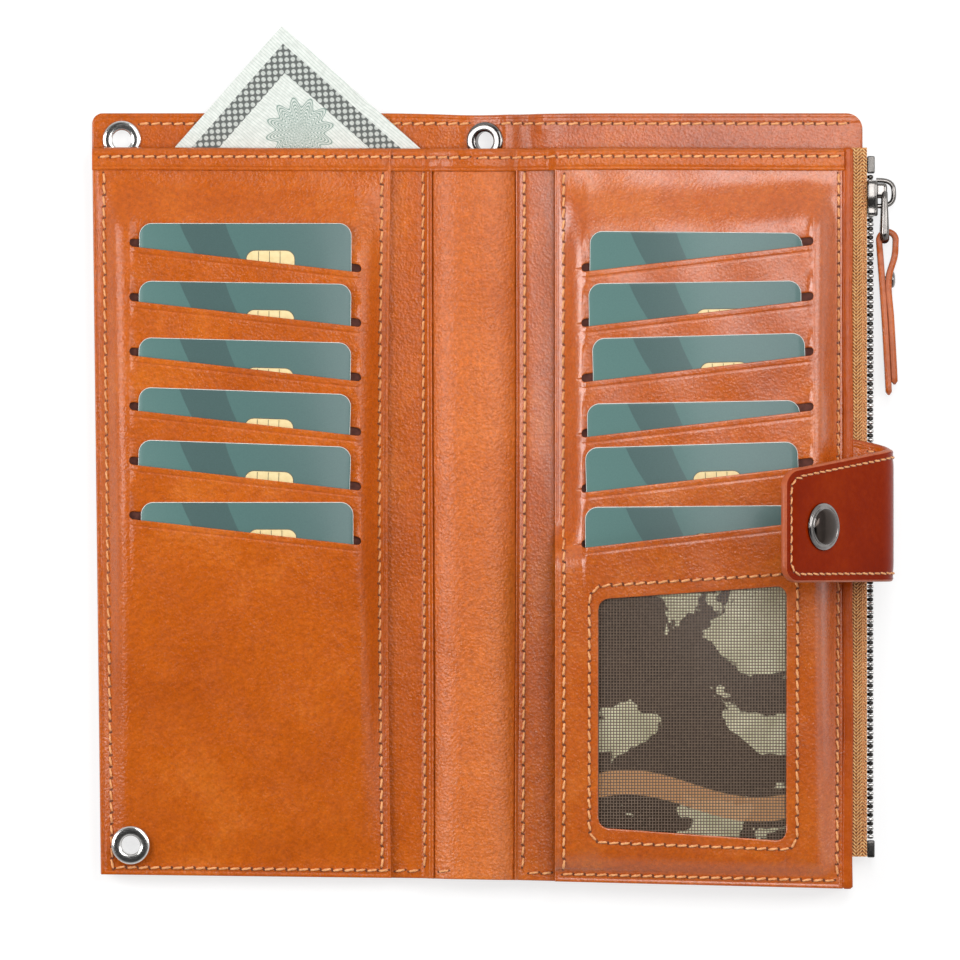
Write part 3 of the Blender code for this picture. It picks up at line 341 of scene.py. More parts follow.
leatherLook = {
    "tan": {"deep": (0.375, 0.066, 0.003), "mid": (0.47, 0.093, 0.004), "pale": (0.58, 0.145, 0.014),
            "shine": 0.27, "grain": 1.0, "gloss": 0.36, "coat": 0.03},
    "rightTan": {"deep": (0.36, 0.060, 0.003), "mid": (0.46, 0.088, 0.004), "pale": (0.57, 0.140, 0.012),
                 "shine": 0.27, "grain": 1.0, "gloss": 0.5, "coat": 0.8},
    "shellTan": {"deep": (0.34, 0.057, 0.003), "mid": (0.44, 0.084, 0.004), "pale": (0.55, 0.134, 0.012),
                 "shine": 0.27, "grain": 1.0, "gloss": 0.45, "coat": 0.35},
    "spineTan": {"deep": (0.45, 0.088, 0.006), "mid": (0.54, 0.120, 0.011), "pale": (0.63, 0.165, 0.026),
                 "shine": 0.34, "grain": 1.5, "gloss": 0.45, "coat": 0.0},
    "edgeTan": {"deep": (0.29, 0.043, 0.003), "mid": (0.40, 0.069, 0.004), "pale": (0.49, 0.105, 0.010),
                "shine": 0.24, "grain": 0.4, "gloss": 0.22, "coat": 0.0},
    "strapRed": {"deep": (0.175, 0.010, 0.0002), "mid": (0.225, 0.016, 0.0003), "pale": (0.29, 0.028, 0.0006),
                 "shine": 0.15, "grain": 0.25, "gloss": 0.04, "coat": 0.0},
    "strapEdge": {"deep": (0.30, 0.052, 0.012), "mid": (0.40, 0.082, 0.022), "pale": (0.50, 0.13, 0.045),
                  "shine": 0.38, "grain": 0.5, "gloss": 0.3, "coat": 0.0},
    "tabTan": {"deep": (0.34, 0.085, 0.030), "mid": (0.48, 0.135, 0.055), "pale": (0.56, 0.19, 0.085),
               "shine": 0.36, "grain": 0.6, "gloss": 0.3, "coat": 0.0},
}


def leatherFinish(name, look):
    # waxed pull-up leather: cloudy colour, fine pores, faint creases and a soft uneven shine
    material, tree, shader = newMaterial(name)
    place = objectPlace(tree)
    cloud = noiseOf(tree, place, 38, 4, 0.55, 0.3)
    fleck = noiseOf(tree, place, 520, 4, 0.65)
    grain = look["grain"]
    tone = plus(tree, times(tree, cloud, 0.68), times(tree, fleck, 0.32))
    colour = colourRamp(tree, tone, [(0.30, look["deep"]), (0.52, look["mid"]), (0.74, look["pale"])])
    # fine random specks that make the colour darker and paler: partly grain tone, partly painted glints of
    # the sheen
    grainGlintSpeck = noiseOf(tree, place, 1050, 3, 0.7, 0.4)
    depth = numberRamp(tree, grainGlintSpeck, 0.30, 0.70, 1.0 - 0.20 * min(grain, 1.2), 1.0 + 0.16 * min(grain, 1.2))
    shades = addNode(tree, "ShaderNodeHueSaturation")
    linked(tree, colour, shades.inputs["Color"])
    linked(tree, depth, shades.inputs["Value"])
    linked(tree, shades.outputs["Color"], shader.inputs["Base Color"])
    pores = addNode(tree, "ShaderNodeTexVoronoi", Scale=1350.0, Randomness=1.0)
    linked(tree, place, pores.inputs["Vector"])
    pebble = noiseOf(tree, place, 1500, 3, 0.6)
    stretched = objectPlace(tree, (1, 0.35, 1))
    crease = noiseOf(tree, stretched, 520, 5, 0.65, 0.8)
    wave = noiseOf(tree, place, 85, 2, 0.5)
    patchy = noiseOf(tree, place, 160, 4, 0.6)
    rough = plus(tree, times(tree, patchy, 0.6), times(tree, pebble, 0.4))
    linked(tree, numberRamp(tree, rough, 0.35, 0.65, look["shine"] - 0.07, look["shine"] + 0.09),
           shader.inputs["Roughness"])
    bumped(tree, shader, [
        (pores.outputs["Distance"], 0.13, 0.60 * grain), (pebble, 0.16, 0.55 * grain),
        (crease, 0.26, 0.42 * grain), (wave, 0.35, 0.25),
    ])
    shader.inputs["Specular IOR Level"].default_value = look["gloss"]
    shader.inputs["Coat Weight"].default_value = look["coat"]
    shader.inputs["Coat Roughness"].default_value = 0.24
    return material


def clothFinish(name, dark, light, scale, rough=0.8):
    material, tree, shader = newMaterial(name)
    place = objectPlace(tree)
    cloud = noiseOf(tree, place, scale, 3)
    linked(tree, colourRamp(tree, cloud, [(0.3, dark), (0.7, light)]), shader.inputs["Base Color"])
    fuzz = noiseOf(tree, place, scale * 12, 3)
    bumped(tree, shader, [(fuzz, 0.05, 0.5)])
    shader.inputs["Roughness"].default_value = rough
    shader.inputs["Sheen Weight"].default_value = 0.25
    return material


def metalFinish(name, colour, dull, shine, scratch=0.3):
    material, tree, shader = newMaterial(name)
    place = objectPlace(tree)
    cloud = noiseOf(tree, place, 260, 4, 0.6)
    linked(tree, colourRamp(tree, cloud, [(0.3, dull), (0.65, colour)]), shader.inputs["Base Color"])
    fine = noiseOf(tree, objectPlace(tree, (1, 6, 1)), 1800, 2)
    linked(tree, numberRamp(tree, fine, 0.3, 0.7, shine - 0.04, shine + 0.08), shader.inputs["Roughness"])
    bumped(tree, shader, [(fine, 0.006, scratch), (cloud, 0.02, 0.15)])
    shader.inputs["Metallic"].default_value = 1.0
    return material


tanLeather = leatherFinish("tanLeather", leatherLook["tan"])
rightLeather = leatherFinish("rightLeather", leatherLook["rightTan"])
shellLeather = leatherFinish("shellLeather", leatherLook["shellTan"])
spineLeather = leatherFinish("spineLeather", leatherLook["spineTan"])
edgeLeather = leatherFinish("edgeLeather", leatherLook["edgeTan"])
strapLeather = leatherFinish("strapLeather", leatherLook["strapRed"])
strapEdgeLeather = leatherFinish("strapEdgeLeather", leatherLook["strapEdge"])
tabLeather = leatherFinish("tabLeather", leatherLook["tabTan"])
threadTan = clothFinish("threadTan", (0.62, 0.24, 0.07), (0.86, 0.42, 0.17), 900, 0.62)
# dark discs at the needle holes: painted shade of holes that are not cut
needleHole = clothFinish("needleHole", (0.10, 0.022, 0.005), (0.17, 0.040, 0.010), 900, 0.9)
slotLining = clothFinish("slotLining", (0.085, 0.026, 0.018), (0.15, 0.045, 0.030), 900, 0.9)
gunmetal = metalFinish("gunmetal", (0.26, 0.245, 0.235), (0.16, 0.15, 0.145), 0.16)
capMetal = metalFinish("capMetal", (0.055, 0.044, 0.038), (0.038, 0.030, 0.026), 0.12)
zipMetal = metalFinish("zipMetal", (0.205, 0.192, 0.182), (0.12, 0.112, 0.105), 0.17)
# a darker copy of the zip metal for the stops, which mutes a lamp's reflection in them: painted shade
stopMetal = metalFinish("stopMetal", (0.115, 0.108, 0.102), (0.070, 0.066, 0.062), 0.30)
# one zip metal in two copies: the front teeth's copy painted lighter as highlight, the back teeth's near
# black as painted shade
toothBright = metalFinish("toothBright", (0.50, 0.48, 0.46), (0.34, 0.33, 0.32), 0.22)
toothDark = metalFinish("toothDark", (0.060, 0.055, 0.050), (0.035, 0.032, 0.030), 0.25)
nickel = metalFinish("nickel", (0.80, 0.79, 0.77), (0.60, 0.59, 0.57), 0.17)
print("finishes made")


# outer leather, liner, inner pockets and linings, from the back up
layers = {
    "shellThick": 1.2, "shellRim": 2.65, "rimWidth": 3.0, "flap": 99.2, "flapFrom": 93.4,
    "linerLow": 2.8, "linerThick": 0.8, "archRise": 6.31, "archHalf": 13.2,
    "pocketThick": 0.8, "leftPocketLow": 3.75, "rightPocketLow": 5.6, "pocketEdge": 10.5, "sheetTop": 92.15,
    "leftLining": 4.95, "rightLining": 8.9, "liningThick": 0.3, "crease": 0.85, "stitchIn": 2.15,
}
shellLook = {
    "cornerLeft": 2.8, "cornerRight": 4.2, "dip": 0.55, "dipWidth": 14.0, "seamY": 99.1, "creaseIn": 1.15,
    "lift": 3.86, "foldRight": 0.9, "foldLeft": 0.35,
}
edgeFine = (0, 0.05, 0.13, 0.24, 0.38, 0.55, 0.68, 0.78, 0.88, 0.98,
            1.10, 1.3, 1.6, 1.9, 2.15, 2.4, 2.8, 3.4, 4.2)  # grid lines beside a cut edge, in mm from it


def linerBase(x):
    across = np.abs(np.asarray(x, float) / layers["archHalf"])
    return layers["linerLow"] + layers["archRise"] * np.maximum(1 - across ** 3, 0) ** 1.2


def wander(x, y, size, seed):  # slow, shallow unevenness of hand-made leather
    x, y = np.asarray(x, float), np.asarray(y, float)
    return size * (np.sin(x * 0.11 + y * 0.07 + seed) + np.sin(x * 0.043 - y * 0.13 + 2.1 * seed)
                   + 0.5 * np.sin(x * 0.27 + y * 0.19 + 3.7 * seed)) / 2.5


def straight(value):  # an edge that runs straight up
    return lambda y: np.full_like(np.asarray(y, float), value)


def layerGrid(xs, leftEdge, rightEdge, top, bottomFine=edgeFine, topFine=edgeFine, rowSize=3.0):
    # rows follow the bottom edge at the bottom and the top edge at the top
    rows = [bottomEdge(xs) + f for f in bottomFine]
    first, last = rows[-1], np.full(len(xs), top - topFine[-1])
    count = int(172 / rowSize)
    rows += [first + (last - first) * k / count for k in range(1, count)]
    rows += [np.full(len(xs), top - f) for f in reversed(topFine)]
    gridY = np.array(rows)
    gridX = np.repeat(np.asarray(xs, float)[None, :], len(rows), 0)
    if leftEdge is not None:
        room = np.clip((gridX[0] - xs[0]) / 30.0, 0, 1)[None, :]
        gridX = gridX + (leftEdge(gridY) - xs[0]) * (1 - room)
    if rightEdge is not None:
        room = np.clip((xs[-1] - gridX[0]) / 8.0, 0, 1)[None, :]
        gridX = gridX + (rightEdge(gridY) - xs[-1]) * (1 - room)
    return gridX, gridY


def edgeGap(gridX, gridY, leftEdge, rightEdge, top):
    gaps = [gridY - bottomEdge(gridX), top - gridY]
    if leftEdge is not None:
        gaps.append(gridX - leftEdge(gridY))
    if rightEdge is not None:
        gaps.append(rightEdge(gridY) - gridX)
    return np.minimum.reduce(gaps)


def finishSurface(base, thick, gap):  # upper and lower face, both rounded off at the edge
    fall = roundOff(gap, thick)
    return base + thick - fall, base + fall


def columns(a, b, size, fineA=edgeFine, fineB=(0, 0.1)):
    middle = spaced(a + fineA[-1], b - fineB[-1], size)
    return np.array([a + f for f in fineA[:-1]] + middle + [b - f for f in reversed(fineB[:-1])])


def shellRight(y):
    inside = step(y, layers["flapFrom"] - 3.4, layers["flapFrom"] - 0.2)
    return wallet["right"] + (layers["flap"] - wallet["right"]) * inside


def shellLift(x, y):  # the outer leather stands off the back where the spine's eyelet pulls it up
    x, y = np.asarray(x, float), np.asarray(y, float)
    rise = shellLook["lift"] * np.clip((x + 2.3) / 10.6, 0, 1) * (1 - step(x, 8.3, 13.4))
    folds = softLine(x - 17.5, shellLook["foldRight"], 2.8) + softLine(x + 9.0, shellLook["foldLeft"], 3.0)
    return rise * step(y, 84, 89.0) + folds * step(y, 93.4, 98.5)


# outer leather in two halves, which meet at the middle of the spine
leftXs = columns(float(leftOuter(110.0)), 0.0, 1.5)
rightXs = -columns(-layers["flap"], 0.0, 1.5)[::-1]
shells = []
for side, xs, leftEdge, rightEdge in ((-1, leftXs, leftOuter, None), (1, rightXs, None, shellRight)):
    gridX, gridY = layerGrid(xs, leftEdge, rightEdge, wallet["top"])
    corner = shellLook["cornerRight"] if side > 0 else shellLook["cornerLeft"]  # cut round
    d = np.clip(corner - (layers["flap"] - gridX if side > 0 else gridX - leftOuter(gridY)), 0, corner)
    gridY = gridY - (corner - np.sqrt(np.maximum(corner ** 2 - d ** 2, 0))) * step(gridY, 88, wallet["top"])
    topEdge = wallet["top"] - softLine(gridX - 2, shellLook["dip"], shellLook["dipWidth"])
    gridY = gridY - (wallet["top"] - topEdge) * step(gridY, 80, wallet["top"])
    gap = edgeGap(gridX, gridY, leftEdge, rightEdge, topEdge)
    sideGap = gridX - leftOuter(gridY) if side < 0 else np.full_like(gridX, 99.0)
    rimGap = np.minimum(np.where(np.abs(gridX) > 12.2, gridY - bottomEdge(gridX), 99), sideGap)
    rim = (1 - step(rimGap, layers["rimWidth"], layers["rimWidth"] + 1.1)) * (1 - step(gridY, 86.5, 88.5))
    rim = rim * step(np.abs(gridX), 11.4, 14.0)
    thick = layers["shellThick"] + (layers["shellRim"] - layers["shellThick"]) * rim
    top, low = finishSurface(shellLift(gridX, gridY), thick, gap)
    valley = softLine(gridY - shellLook["seamY"], 0.16, 0.6) * step(gridY, 95, 98)
    top = top - valley - softLine(topEdge - gridY - shellLook["creaseIn"], 0.12, 0.16)
    low = np.maximum(low, 0)
    name = "shellLeft" if side < 0 else "shellRight"
    piece = sheetObject(name, gridX, gridY, top, low, tanLeather if side < 0 else shellLeather, sharp=50)
    punched(piece, *(("top", "bottom") if side < 0 else ("spine",)))
    bendAcross(piece, side, ["shell_left", "shell_spine"] if side < 0 else ["shell_right"])
    shells.append(piece)
print("outer leather made")

# liner between the banknotes and the pockets
liners = []
for side in (-1, 1):
    if side < 0:
        xs = columns(float(leftOuter(0)) + 0.1, 0.0, 1.6)
        leftEdge, rightEdge = lambda y: leftOuter(y) + 0.12, None
    else:
        xs = -columns(-wallet["right"], 0.0, 1.6)[::-1]
        leftEdge, rightEdge = None, straight(wallet["right"])
    gridX, gridY = layerGrid(xs, leftEdge, rightEdge, layers["sheetTop"], rowSize=3.2)
    gap = edgeGap(gridX, gridY, leftEdge, rightEdge, layers["sheetTop"])
    soft = wander(gridX, gridY, 0.22, 2.2) * step(12.5 - np.abs(gridX), 0, 4)
    base = linerBase(gridX) + soft
    top, low = finishSurface(base, layers["linerThick"], gap)
    name = "linerLeft" if side < 0 else "linerRight"
    piece = sheetObject(name, gridX, gridY, top, low, spineLeather, sharp=50)
    if side < 0:
        punched(piece, "bottom")
    bendAcross(piece, side, ["liner_left", "liner_spine"] if side < 0 else ["liner_right"])
    liners.append(piece)

# inner skin of each leaf, whose free edge lies over the spine strip
pockets = []
for side in (-1, 1):
    if side < 0:
        xs = -columns(layers["pocketEdge"], 96.9, 1.5)[::-1]
        leftEdge = lambda y: leftOuter(y) + 0.4
        rightEdge = lambda y: -layers["pocketEdge"] - 0.25 * np.sin(np.asarray(y, float) * 0.021)
        lowLevel, material = layers["leftPocketLow"], tanLeather
    else:
        xs = columns(layers["pocketEdge"], 93.9, 1.5, edgeFine, (0, 0.3))
        leftEdge = lambda y: layers["pocketEdge"] + 0.3 * np.sin(np.asarray(y, float) * 0.019 + 1)
        rightEdge = None
        lowLevel, material = layers["rightPocketLow"], rightLeather
    gridX, gridY = layerGrid(xs, leftEdge, rightEdge, layers["sheetTop"])
    free = (rightEdge(gridY) - gridX) if side < 0 else (gridX - leftEdge(gridY))
    gap = np.minimum(free, gridY - bottomEdge(gridX))
    overLiner = linerBase(gridX) + layers["linerThick"] + 0.10 + 0.1 * np.exp(-free / 3)
    base = np.maximum(lowLevel, overLiner)
    base = base + np.maximum(wander(gridX, gridY, 0.16, 0.6), -0.1) * step(free, 3.5, 9)
    top, low = finishSurface(base, layers["pocketThick"], gap)
    top = top - softLine(free - layers["crease"], 0.17, 0.15)
    top = top + softLine(free - layers["crease"] - 0.38, 0.07, 0.16)
    top = top - softLine(free - layers["stitchIn"], 0.13, 0.5)
    name = "pocketLeft" if side < 0 else "pocketRight"
    piece = sheetObject(name, gridX, gridY, top, low, material, sharp=50)
    if side < 0:
        punched(piece, "bottom")
    bendAcross(piece, side, ["pocket_panel_left" if side < 0 else "pocket_panel_right"])
    pockets.append(piece)
print("liners and pockets made")

# linings under the card panels
for name, a, b, lowLevel, body, node in (
        ("liningLeft", -95.6, -22.2, layers["leftLining"], "left_leaf", "card_lining_left"),
        ("liningRight", 21.4, 93.7, layers["rightLining"], "right_leaf", "card_lining_right")):
    xs = np.array(spaced(a, b, 6.0))
    gridX, gridY = layerGrid(xs, None, None, layers["sheetTop"], (0.6, 1.2), (0, 0.6), 8.0)
    if body == "left_leaf":
        gridX = np.maximum(gridX, leftOuter(gridY) + 0.7)
    base = np.full_like(gridX, lowLevel)
    piece = sheetObject(name, gridX, gridY, base + layers["liningThick"], base, slotLining, sharp=50)
    if body == "left_leaf":
        punched(piece, "bottom")
    rideOn(piece, body, [node])

# folded strip sewn over the top edge of every layer
hemLook = {
    "over": 0.15, "thick": 0.6, "back": 3.5, "front": wallet["hemLow"], "top": wallet["hemTop"],
    "stitchIn": 3.6, "creaseIn": 0.92, "dip": 0.35, "dipWidth": 16.0,
    "leftPanelTop": 6.0, "rightPanelTop": 9.95,
    "rows": (0.0, 0.04, 0.11, 0.22, 0.36, 0.55, 0.78, 0.9, 1.02, 1.2,
             1.7, 2.3, 2.8, 3.1, 3.35, 3.6, 3.85, 4.1, 4.5),
}


def hemHeld(x):  # underside and top of what the hem holds
    x = np.asarray(x, float)
    under = linerBase(x) - hemLook["over"]
    top = linerBase(x) + layers["linerThick"]
    leftTop = np.maximum(layers["leftPocketLow"] + layers["pocketThick"],
                         linerBase(x) + layers["linerThick"] * 2 + 0.1)
    top = np.where(x < 0, top + (leftTop - top) * step(-x, 9.6, 11.6), top)
    top = np.where(x < 0, top + (hemLook["leftPanelTop"] - leftTop) * step(-x, 20.6, 23.2), top)
    rightTop = np.maximum(layers["rightPocketLow"] + layers["pocketThick"], top)
    top = np.where(x > 0, top + (rightTop - top) * step(x, 9.6, 11.8), top)
    top = np.where(x > 0, top + (hemLook["rightPanelTop"] - rightTop) * step(x, 18.4, 21.6), top)
    return under, top + hemLook["over"]


def hemDip(x):  # how far the hem's line sags beside the spine
    return softLine(x - 2, hemLook["dip"], hemLook["dipWidth"])


def hemPiece(name, xs):
    under, over = hemHeld(xs)
    t = hemLook["thick"]
    y0, y1 = hemLook["front"], hemLook["top"]
    yb = y1 - hemLook["back"]
    sections = []
    for x, lo, hi in zip(xs, under, over):
        outer = []
        for f in hemLook["rows"]:
            drop = float(roundOff(f, t * 2)) * 0.9
            drop += softLine(f - hemLook["stitchIn"], 0.15, 0.55)
            drop += softLine(f - hemLook["creaseIn"], 0.13, 0.14)
            outer.append((y0 + f, hi + t - drop))
        bend = (hi + t - (lo - t)) / 2
        mid = (hi + lo) / 2
        wide = min(1.3, bend)
        for k in range(1, 12):
            a = math.pi * k / 12
            outer.append((y1 - wide + wide * math.sin(a), mid + bend * math.cos(a)))
        outer += [(y1 - wide - 0.5, lo - t), (yb + 0.4, lo - t), (yb + 0.1, lo - t + 0.1), (yb, lo - t / 2),
                  (yb + 0.05, lo - 0.05)]
        inner = [(yb + 0.4, lo), (y1 - t, lo), (y1 - t, hi), (y0 + 0.3, hi), (y0 + 0.05, hi + 0.02)]
        shift = 0.12 * math.sin(x * 0.05) - hemDip(x)
        sections.append([(x, y + shift, z) for y, z in outer + inner])
    obj = meshObject(name, *ringedSolid(sections), tanLeather)
    obj.data.set_sharp_from_angle(angle=math.radians(50))
    return obj


hemLeftXs = np.array([float(leftOuter(90)) + 0.1] + list(columns(float(leftOuter(90)) + 0.15, 0.0, 0.6)))
hemRightXs = np.array(list(-columns(-94.2, 0.0, 0.6)[::-1]) + [94.25])
hems = [bendAcross(hemPiece("hemLeft", hemLeftXs), -1, ["top_hem_left", "top_hem_spine"]),
        bendAcross(hemPiece("hemRight", hemRightXs), 1, ["top_hem_right"])]

# rolled strip down the right edge of the card pocket
binding = {"left": 93.75, "right": 96.5, "low": 8.7, "high": 10.35, "top": 92.9,
           "bottom": float(bottomEdge(96.0))}
halfX, halfZ = (binding["right"] - binding["left"]) / 2, (binding["high"] - binding["low"]) / 2
sections = []
for y in [binding["bottom"] + f for f in (0, 0.15, 0.5)] + spaced(-94, 92.2, 2.5) + [92.6, 92.85]:
    end = min(1.0, 0.55 + (y - binding["bottom"]) * 0.9, 0.55 + (binding["top"] - y) * 0.9)
    wobble = 0.10 * math.sin(y * 0.09) + 0.05 * math.sin(y * 0.31)
    ring = []
    for k in range(24):
        a = 2 * math.pi * k / 24
        px, pz = power(math.cos(a), 0.7), power(math.sin(a), 0.7)
        ring.append((binding["left"] + halfX + wobble + px * halfX * end, y,
                     binding["low"] + halfZ + pz * halfZ * end))
    sections.append(ring)
edgeRoll = meshObject("edgeRoll", *ringedSolid(sections), edgeLeather)
rideOn(edgeRoll, "right_leaf", ["edge_binding"])
print("hem and edges made")


# card panels: each slopes up and down between its six slits, and the right one frames the window
cardSize = {"width": 54.0, "length": 85.6, "thick": 0.76, "corner": 3.2}
leftPocket = {
    "middle": -58.2, "slitTop": 65.3, "pitch": 13.88, "angle": -6.5, "base": 5.4, "raised": 0.0,
    "shows": (8.2, 7.0, 6.2, 7.2, 7.7, 6.6), "tilts": (0.0, -0.9, -1.5, -2.0, -2.0, 0.0),
    "shifts": (0.0, 0.0, 0.0, 0.0, 0.0, 0.5),
}
rightPocket = {
    "middle": 56.8, "slitTop": 65.5, "pitch": 14.04, "angle": 6.7, "base": 9.35, "raised": 1.76,
    "shows": (5.7, 7.0, 7.4, 4.6, 7.8, 6.2), "tilts": (-0.5, 0.8, 1.5, 1.0, 1.7, 0.5),
    "shifts": (-0.3, -0.7, 0.2, -1.1, -1.6, -1.6),
}
panel = {"thick": 0.6, "gap": 0.15, "slitLength": 59.0, "slitHeight": 2.0, "slits": 6}
window = {"left": 31.6, "right": 79.4, "top": -20.5, "bottom": -82.0, "skew": 1.7, "corner": 2.6}

for pocket in (leftPocket, rightPocket):  # each card is steeper than the one above, and slides over it
    depth = cardSize["length"] - min(pocket["shows"])
    slopes = [(cardSize["thick"] + panel["gap"]) / pocket["pitch"]]
    for _ in range(panel["slits"] - 1):
        climb = cardSize["thick"] + panel["thick"] + 2 * panel["gap"]
        slopes.append((climb + (depth - pocket["pitch"]) * slopes[-1]) / depth)
    pocket["slopes"] = slopes
    pocket["depth"] = depth
    pocket["grade"] = math.tan(math.radians(pocket["angle"]))


def slitY(pocket, index, x):
    slant = (np.asarray(x, float) - pocket["middle"]) * pocket["grade"]
    return pocket["slitTop"] - index * pocket["pitch"] + slant


def cardZ(pocket, index, y):
    lowest = pocket["slitTop"] - index * pocket["pitch"] - pocket["depth"]
    return pocket["base"] + pocket["slopes"][index] * (np.asarray(y, float) - lowest)


def stripZ(pocket, index, y):  # underside of the leather below slit number index
    if index < 0:
        return cardZ(pocket, 0, y) - panel["gap"] - panel["thick"]
    return cardZ(pocket, index, y) + cardSize["thick"] + panel["gap"]


def windowEdge(x, which):  # the window's upper or lower edge, with round corners
    half = (window["right"] - window["left"]) / 2
    share = (np.asarray(x, float) - (window["left"] + half)) / half
    line = window[which] + window["skew"] * share * (1 if which == "top" else -1)
    r = window["corner"]
    d = np.clip(np.minimum(x - window["left"], window["right"] - x), 0, r)
    drop = r - np.sqrt(np.maximum(r * r - (r - d) ** 2, 0))
    far = np.clip(np.maximum(window["left"] - x, x - window["right"]), 0, 12)
    drop = drop * (1 - step(far, 0, 9))
    return line - drop if which == "top" else line + drop


def cardPanel(name, pocket, edges, material, withWindow):
    first, last = edges  # functions of y
    fine = (0, 0.06, 0.16, 0.30, 0.50, 0.75, 0.95, 1.10, 1.25, 1.5, 1.9, 2.3, 2.7, 3.2, 4.0, 5.0)
    x0, x1 = float(first(0)), float(last(0))
    slitLeft, slitRight = (pocket["middle"] + s * panel["slitLength"] / 2 for s in (-1, 1))
    keys = [x0 + fine[-1], x1 - fine[-1]]
    for f in (-2.5, 0, 0.12, 0.35, 0.7, 1.2, 2.2):
        keys += [slitLeft + f, slitRight - f]
    if withWindow:
        for f in (-3.2, -2.2, -1.2, -0.6, -0.3, -0.12, 0, 0.12, 0.35, 0.8, 1.4, 2.0, 2.6):
            keys += [window["left"] + f, window["right"] - f]
    keys = sorted(set(round(k, 4) for k in keys))
    xs = [x0 + f for f in fine[:-1]]
    for a, b in zip(keys[:-1], keys[1:]):
        if b - a < 0.05:
            continue
        xs += spaced(a, b, 1.3)[:-1]
    xs += [keys[-1]] + [x1 - f for f in reversed(fine[:-1])]
    xs = np.array(xs)
    share = (xs - x0) / (x1 - x0)

    # key rows: each a function of x, and what the strip above it is
    cardsEnd = pocket["slitTop"] - 5 * pocket["pitch"] - pocket["depth"]
    if withWindow:
        cardsEnd = min(cardsEnd, -90.0)
    rows = []
    for f in (0, 0.06, 0.16, 0.30, 0.50, 0.75, 0.95, 1.10, 1.25, 1.5, 2.0, 2.6, 3.2, 4.0):
        rows.append((lambda x, f=f: bottomEdge(x) + f, "plain"))
    half = panel["slitHeight"] / 2

    def slitHalf(x):  # distance to the slit's nearer end, and half its height there, for its ends are round
        d = np.clip(panel["slitLength"] / 2 - np.abs(x - pocket["middle"]), 0, None)
        return d, np.where(d >= half, half, np.sqrt(np.maximum(half * half - (half - d) ** 2, 0)))

    def lip(index, sign, offset):
        return lambda x: slitY(pocket, index, x) + sign * (slitHalf(x)[1] + offset)

    def between(a, b, count):
        return [(lambda x, s=k / count: a(x) + (b(x) - a(x)) * s, "plain") for k in range(1, count)]

    lowest = lip(5, -1, 9.0)
    if withWindow:
        wb = lambda x: windowEdge(x, "bottom")
        wt = lambda x: windowEdge(x, "top")
        for f in (-6, -4.5, -3.4, -2.6, -2.0, -1.4, -1.1, -0.8, -0.45, -0.2, -0.07):
            rows.append((lambda x, f=f: wb(x) + f, "plain"))
        rows.append((wb, "windowLow"))
        rows += [(f, "inWindow") for f, _ in between(wb, wt, 26)]
        rows.append((wt, "windowTop"))
        for f in (0.07, 0.2, 0.45, 0.8, 1.1, 1.4, 2.0, 2.6, 3.4, 4.5):
            rows.append((lambda x, f=f: wt(x) + f, "plain"))
        rows += between(rows[-1][0], lowest, 3)
    else:
        rows += between(rows[-1][0], lowest, 34)
    for index in reversed(range(6)):
        for off in (9.0, 7.2, 5.6, 4.2, 3.0, 2.3, 1.95, 1.75, 1.6, 1.45, 1.25, 1.0, 0.7, 0.4, 0.2, 0.08):
            rows.append((lip(index, -1, off), "plain"))
        rows.append((lip(index, -1, 0), "slitLow%d" % index))
        rows.append((lip(index, 1, 0), "slitTop%d" % index))
        for off in (0.08, 0.2, 0.4, 0.8, 1.5):
            rows.append((lip(index, 1, off), "plain"))
    top = lambda x: np.full_like(x, 92.2)
    rows += between(rows[-1][0], top, 16) + [(top, "plain")]

    tags = [tag for _, tag in rows]
    gridY = np.array([rowAt(xs) for rowAt, _ in rows])
    gridX = np.array([first(y) + (last(y) - first(y)) * share for y in gridY])
    gridX = np.where((xs > x0 + 6) & (xs < x1 - 6), xs[None, :], gridX)

    # the slats: an even slope through all of them, and a saw of half a slat's rise on each side of it
    gridZ = np.zeros_like(gridY)
    ends = [slitY(pocket, k, xs) for k in range(6)]
    dist = np.abs(xs - pocket["middle"])
    keep = 1 - step(dist, panel["slitLength"] / 2 - 1.3, panel["slitLength"] / 2)
    for r, (y, tag) in enumerate(zip(gridY, tags)):
        strip = np.full(len(xs), -1)
        for k in range(6):
            strip = np.where(y < ends[k] - 1e-9, k, strip)
        if tag.startswith("slitLow"):
            strip = np.full(len(xs), int(tag[7:]))
        if tag.startswith("slitTop"):
            strip = np.full(len(xs), int(tag[7:]) - 1)
        z = np.zeros(len(xs))
        line = np.zeros(len(xs))
        for k in range(-1, 6):
            here = strip == k
            if not here.any():
                continue
            z = np.where(here, stripZ(pocket, k, y), z)
            # the straight line between the middles of the two lips that end this strip
            up = ends[max(k, 0)]
            down = ends[k + 1] if k < 5 else up - pocket["pitch"]
            zUp = (stripZ(pocket, k, up) + stripZ(pocket, max(k - 1, -1), up)) / 2 if k >= 0 else None
            if k < 0:
                zDown = (stripZ(pocket, -1, ends[0]) + stripZ(pocket, 0, ends[0])) / 2
                fall = np.clip((y - ends[0]) / 20, 0, 1)
                line = np.where(here, zDown - 0.8 * fall, line)
            elif k < 5:
                zDown = (stripZ(pocket, k, down) + stripZ(pocket, k + 1, down)) / 2
                t = (y - down) / (up - down)
                line = np.where(here, zDown + (zUp - zDown) * t, line)
            else:
                away = np.exp(-(up - y) / 9.0)
                line = np.where(here, stripZ(pocket, 5, y) - (stripZ(pocket, 5, up) - zUp) * away, line)
        body = line + (z - line) * keep
        if pocket["raised"]:
            lift = np.where(strip == 5, keep + (1 - keep) * step(ends[5] - y, 0, 5), 0)
            body = body + pocket["raised"] * lift
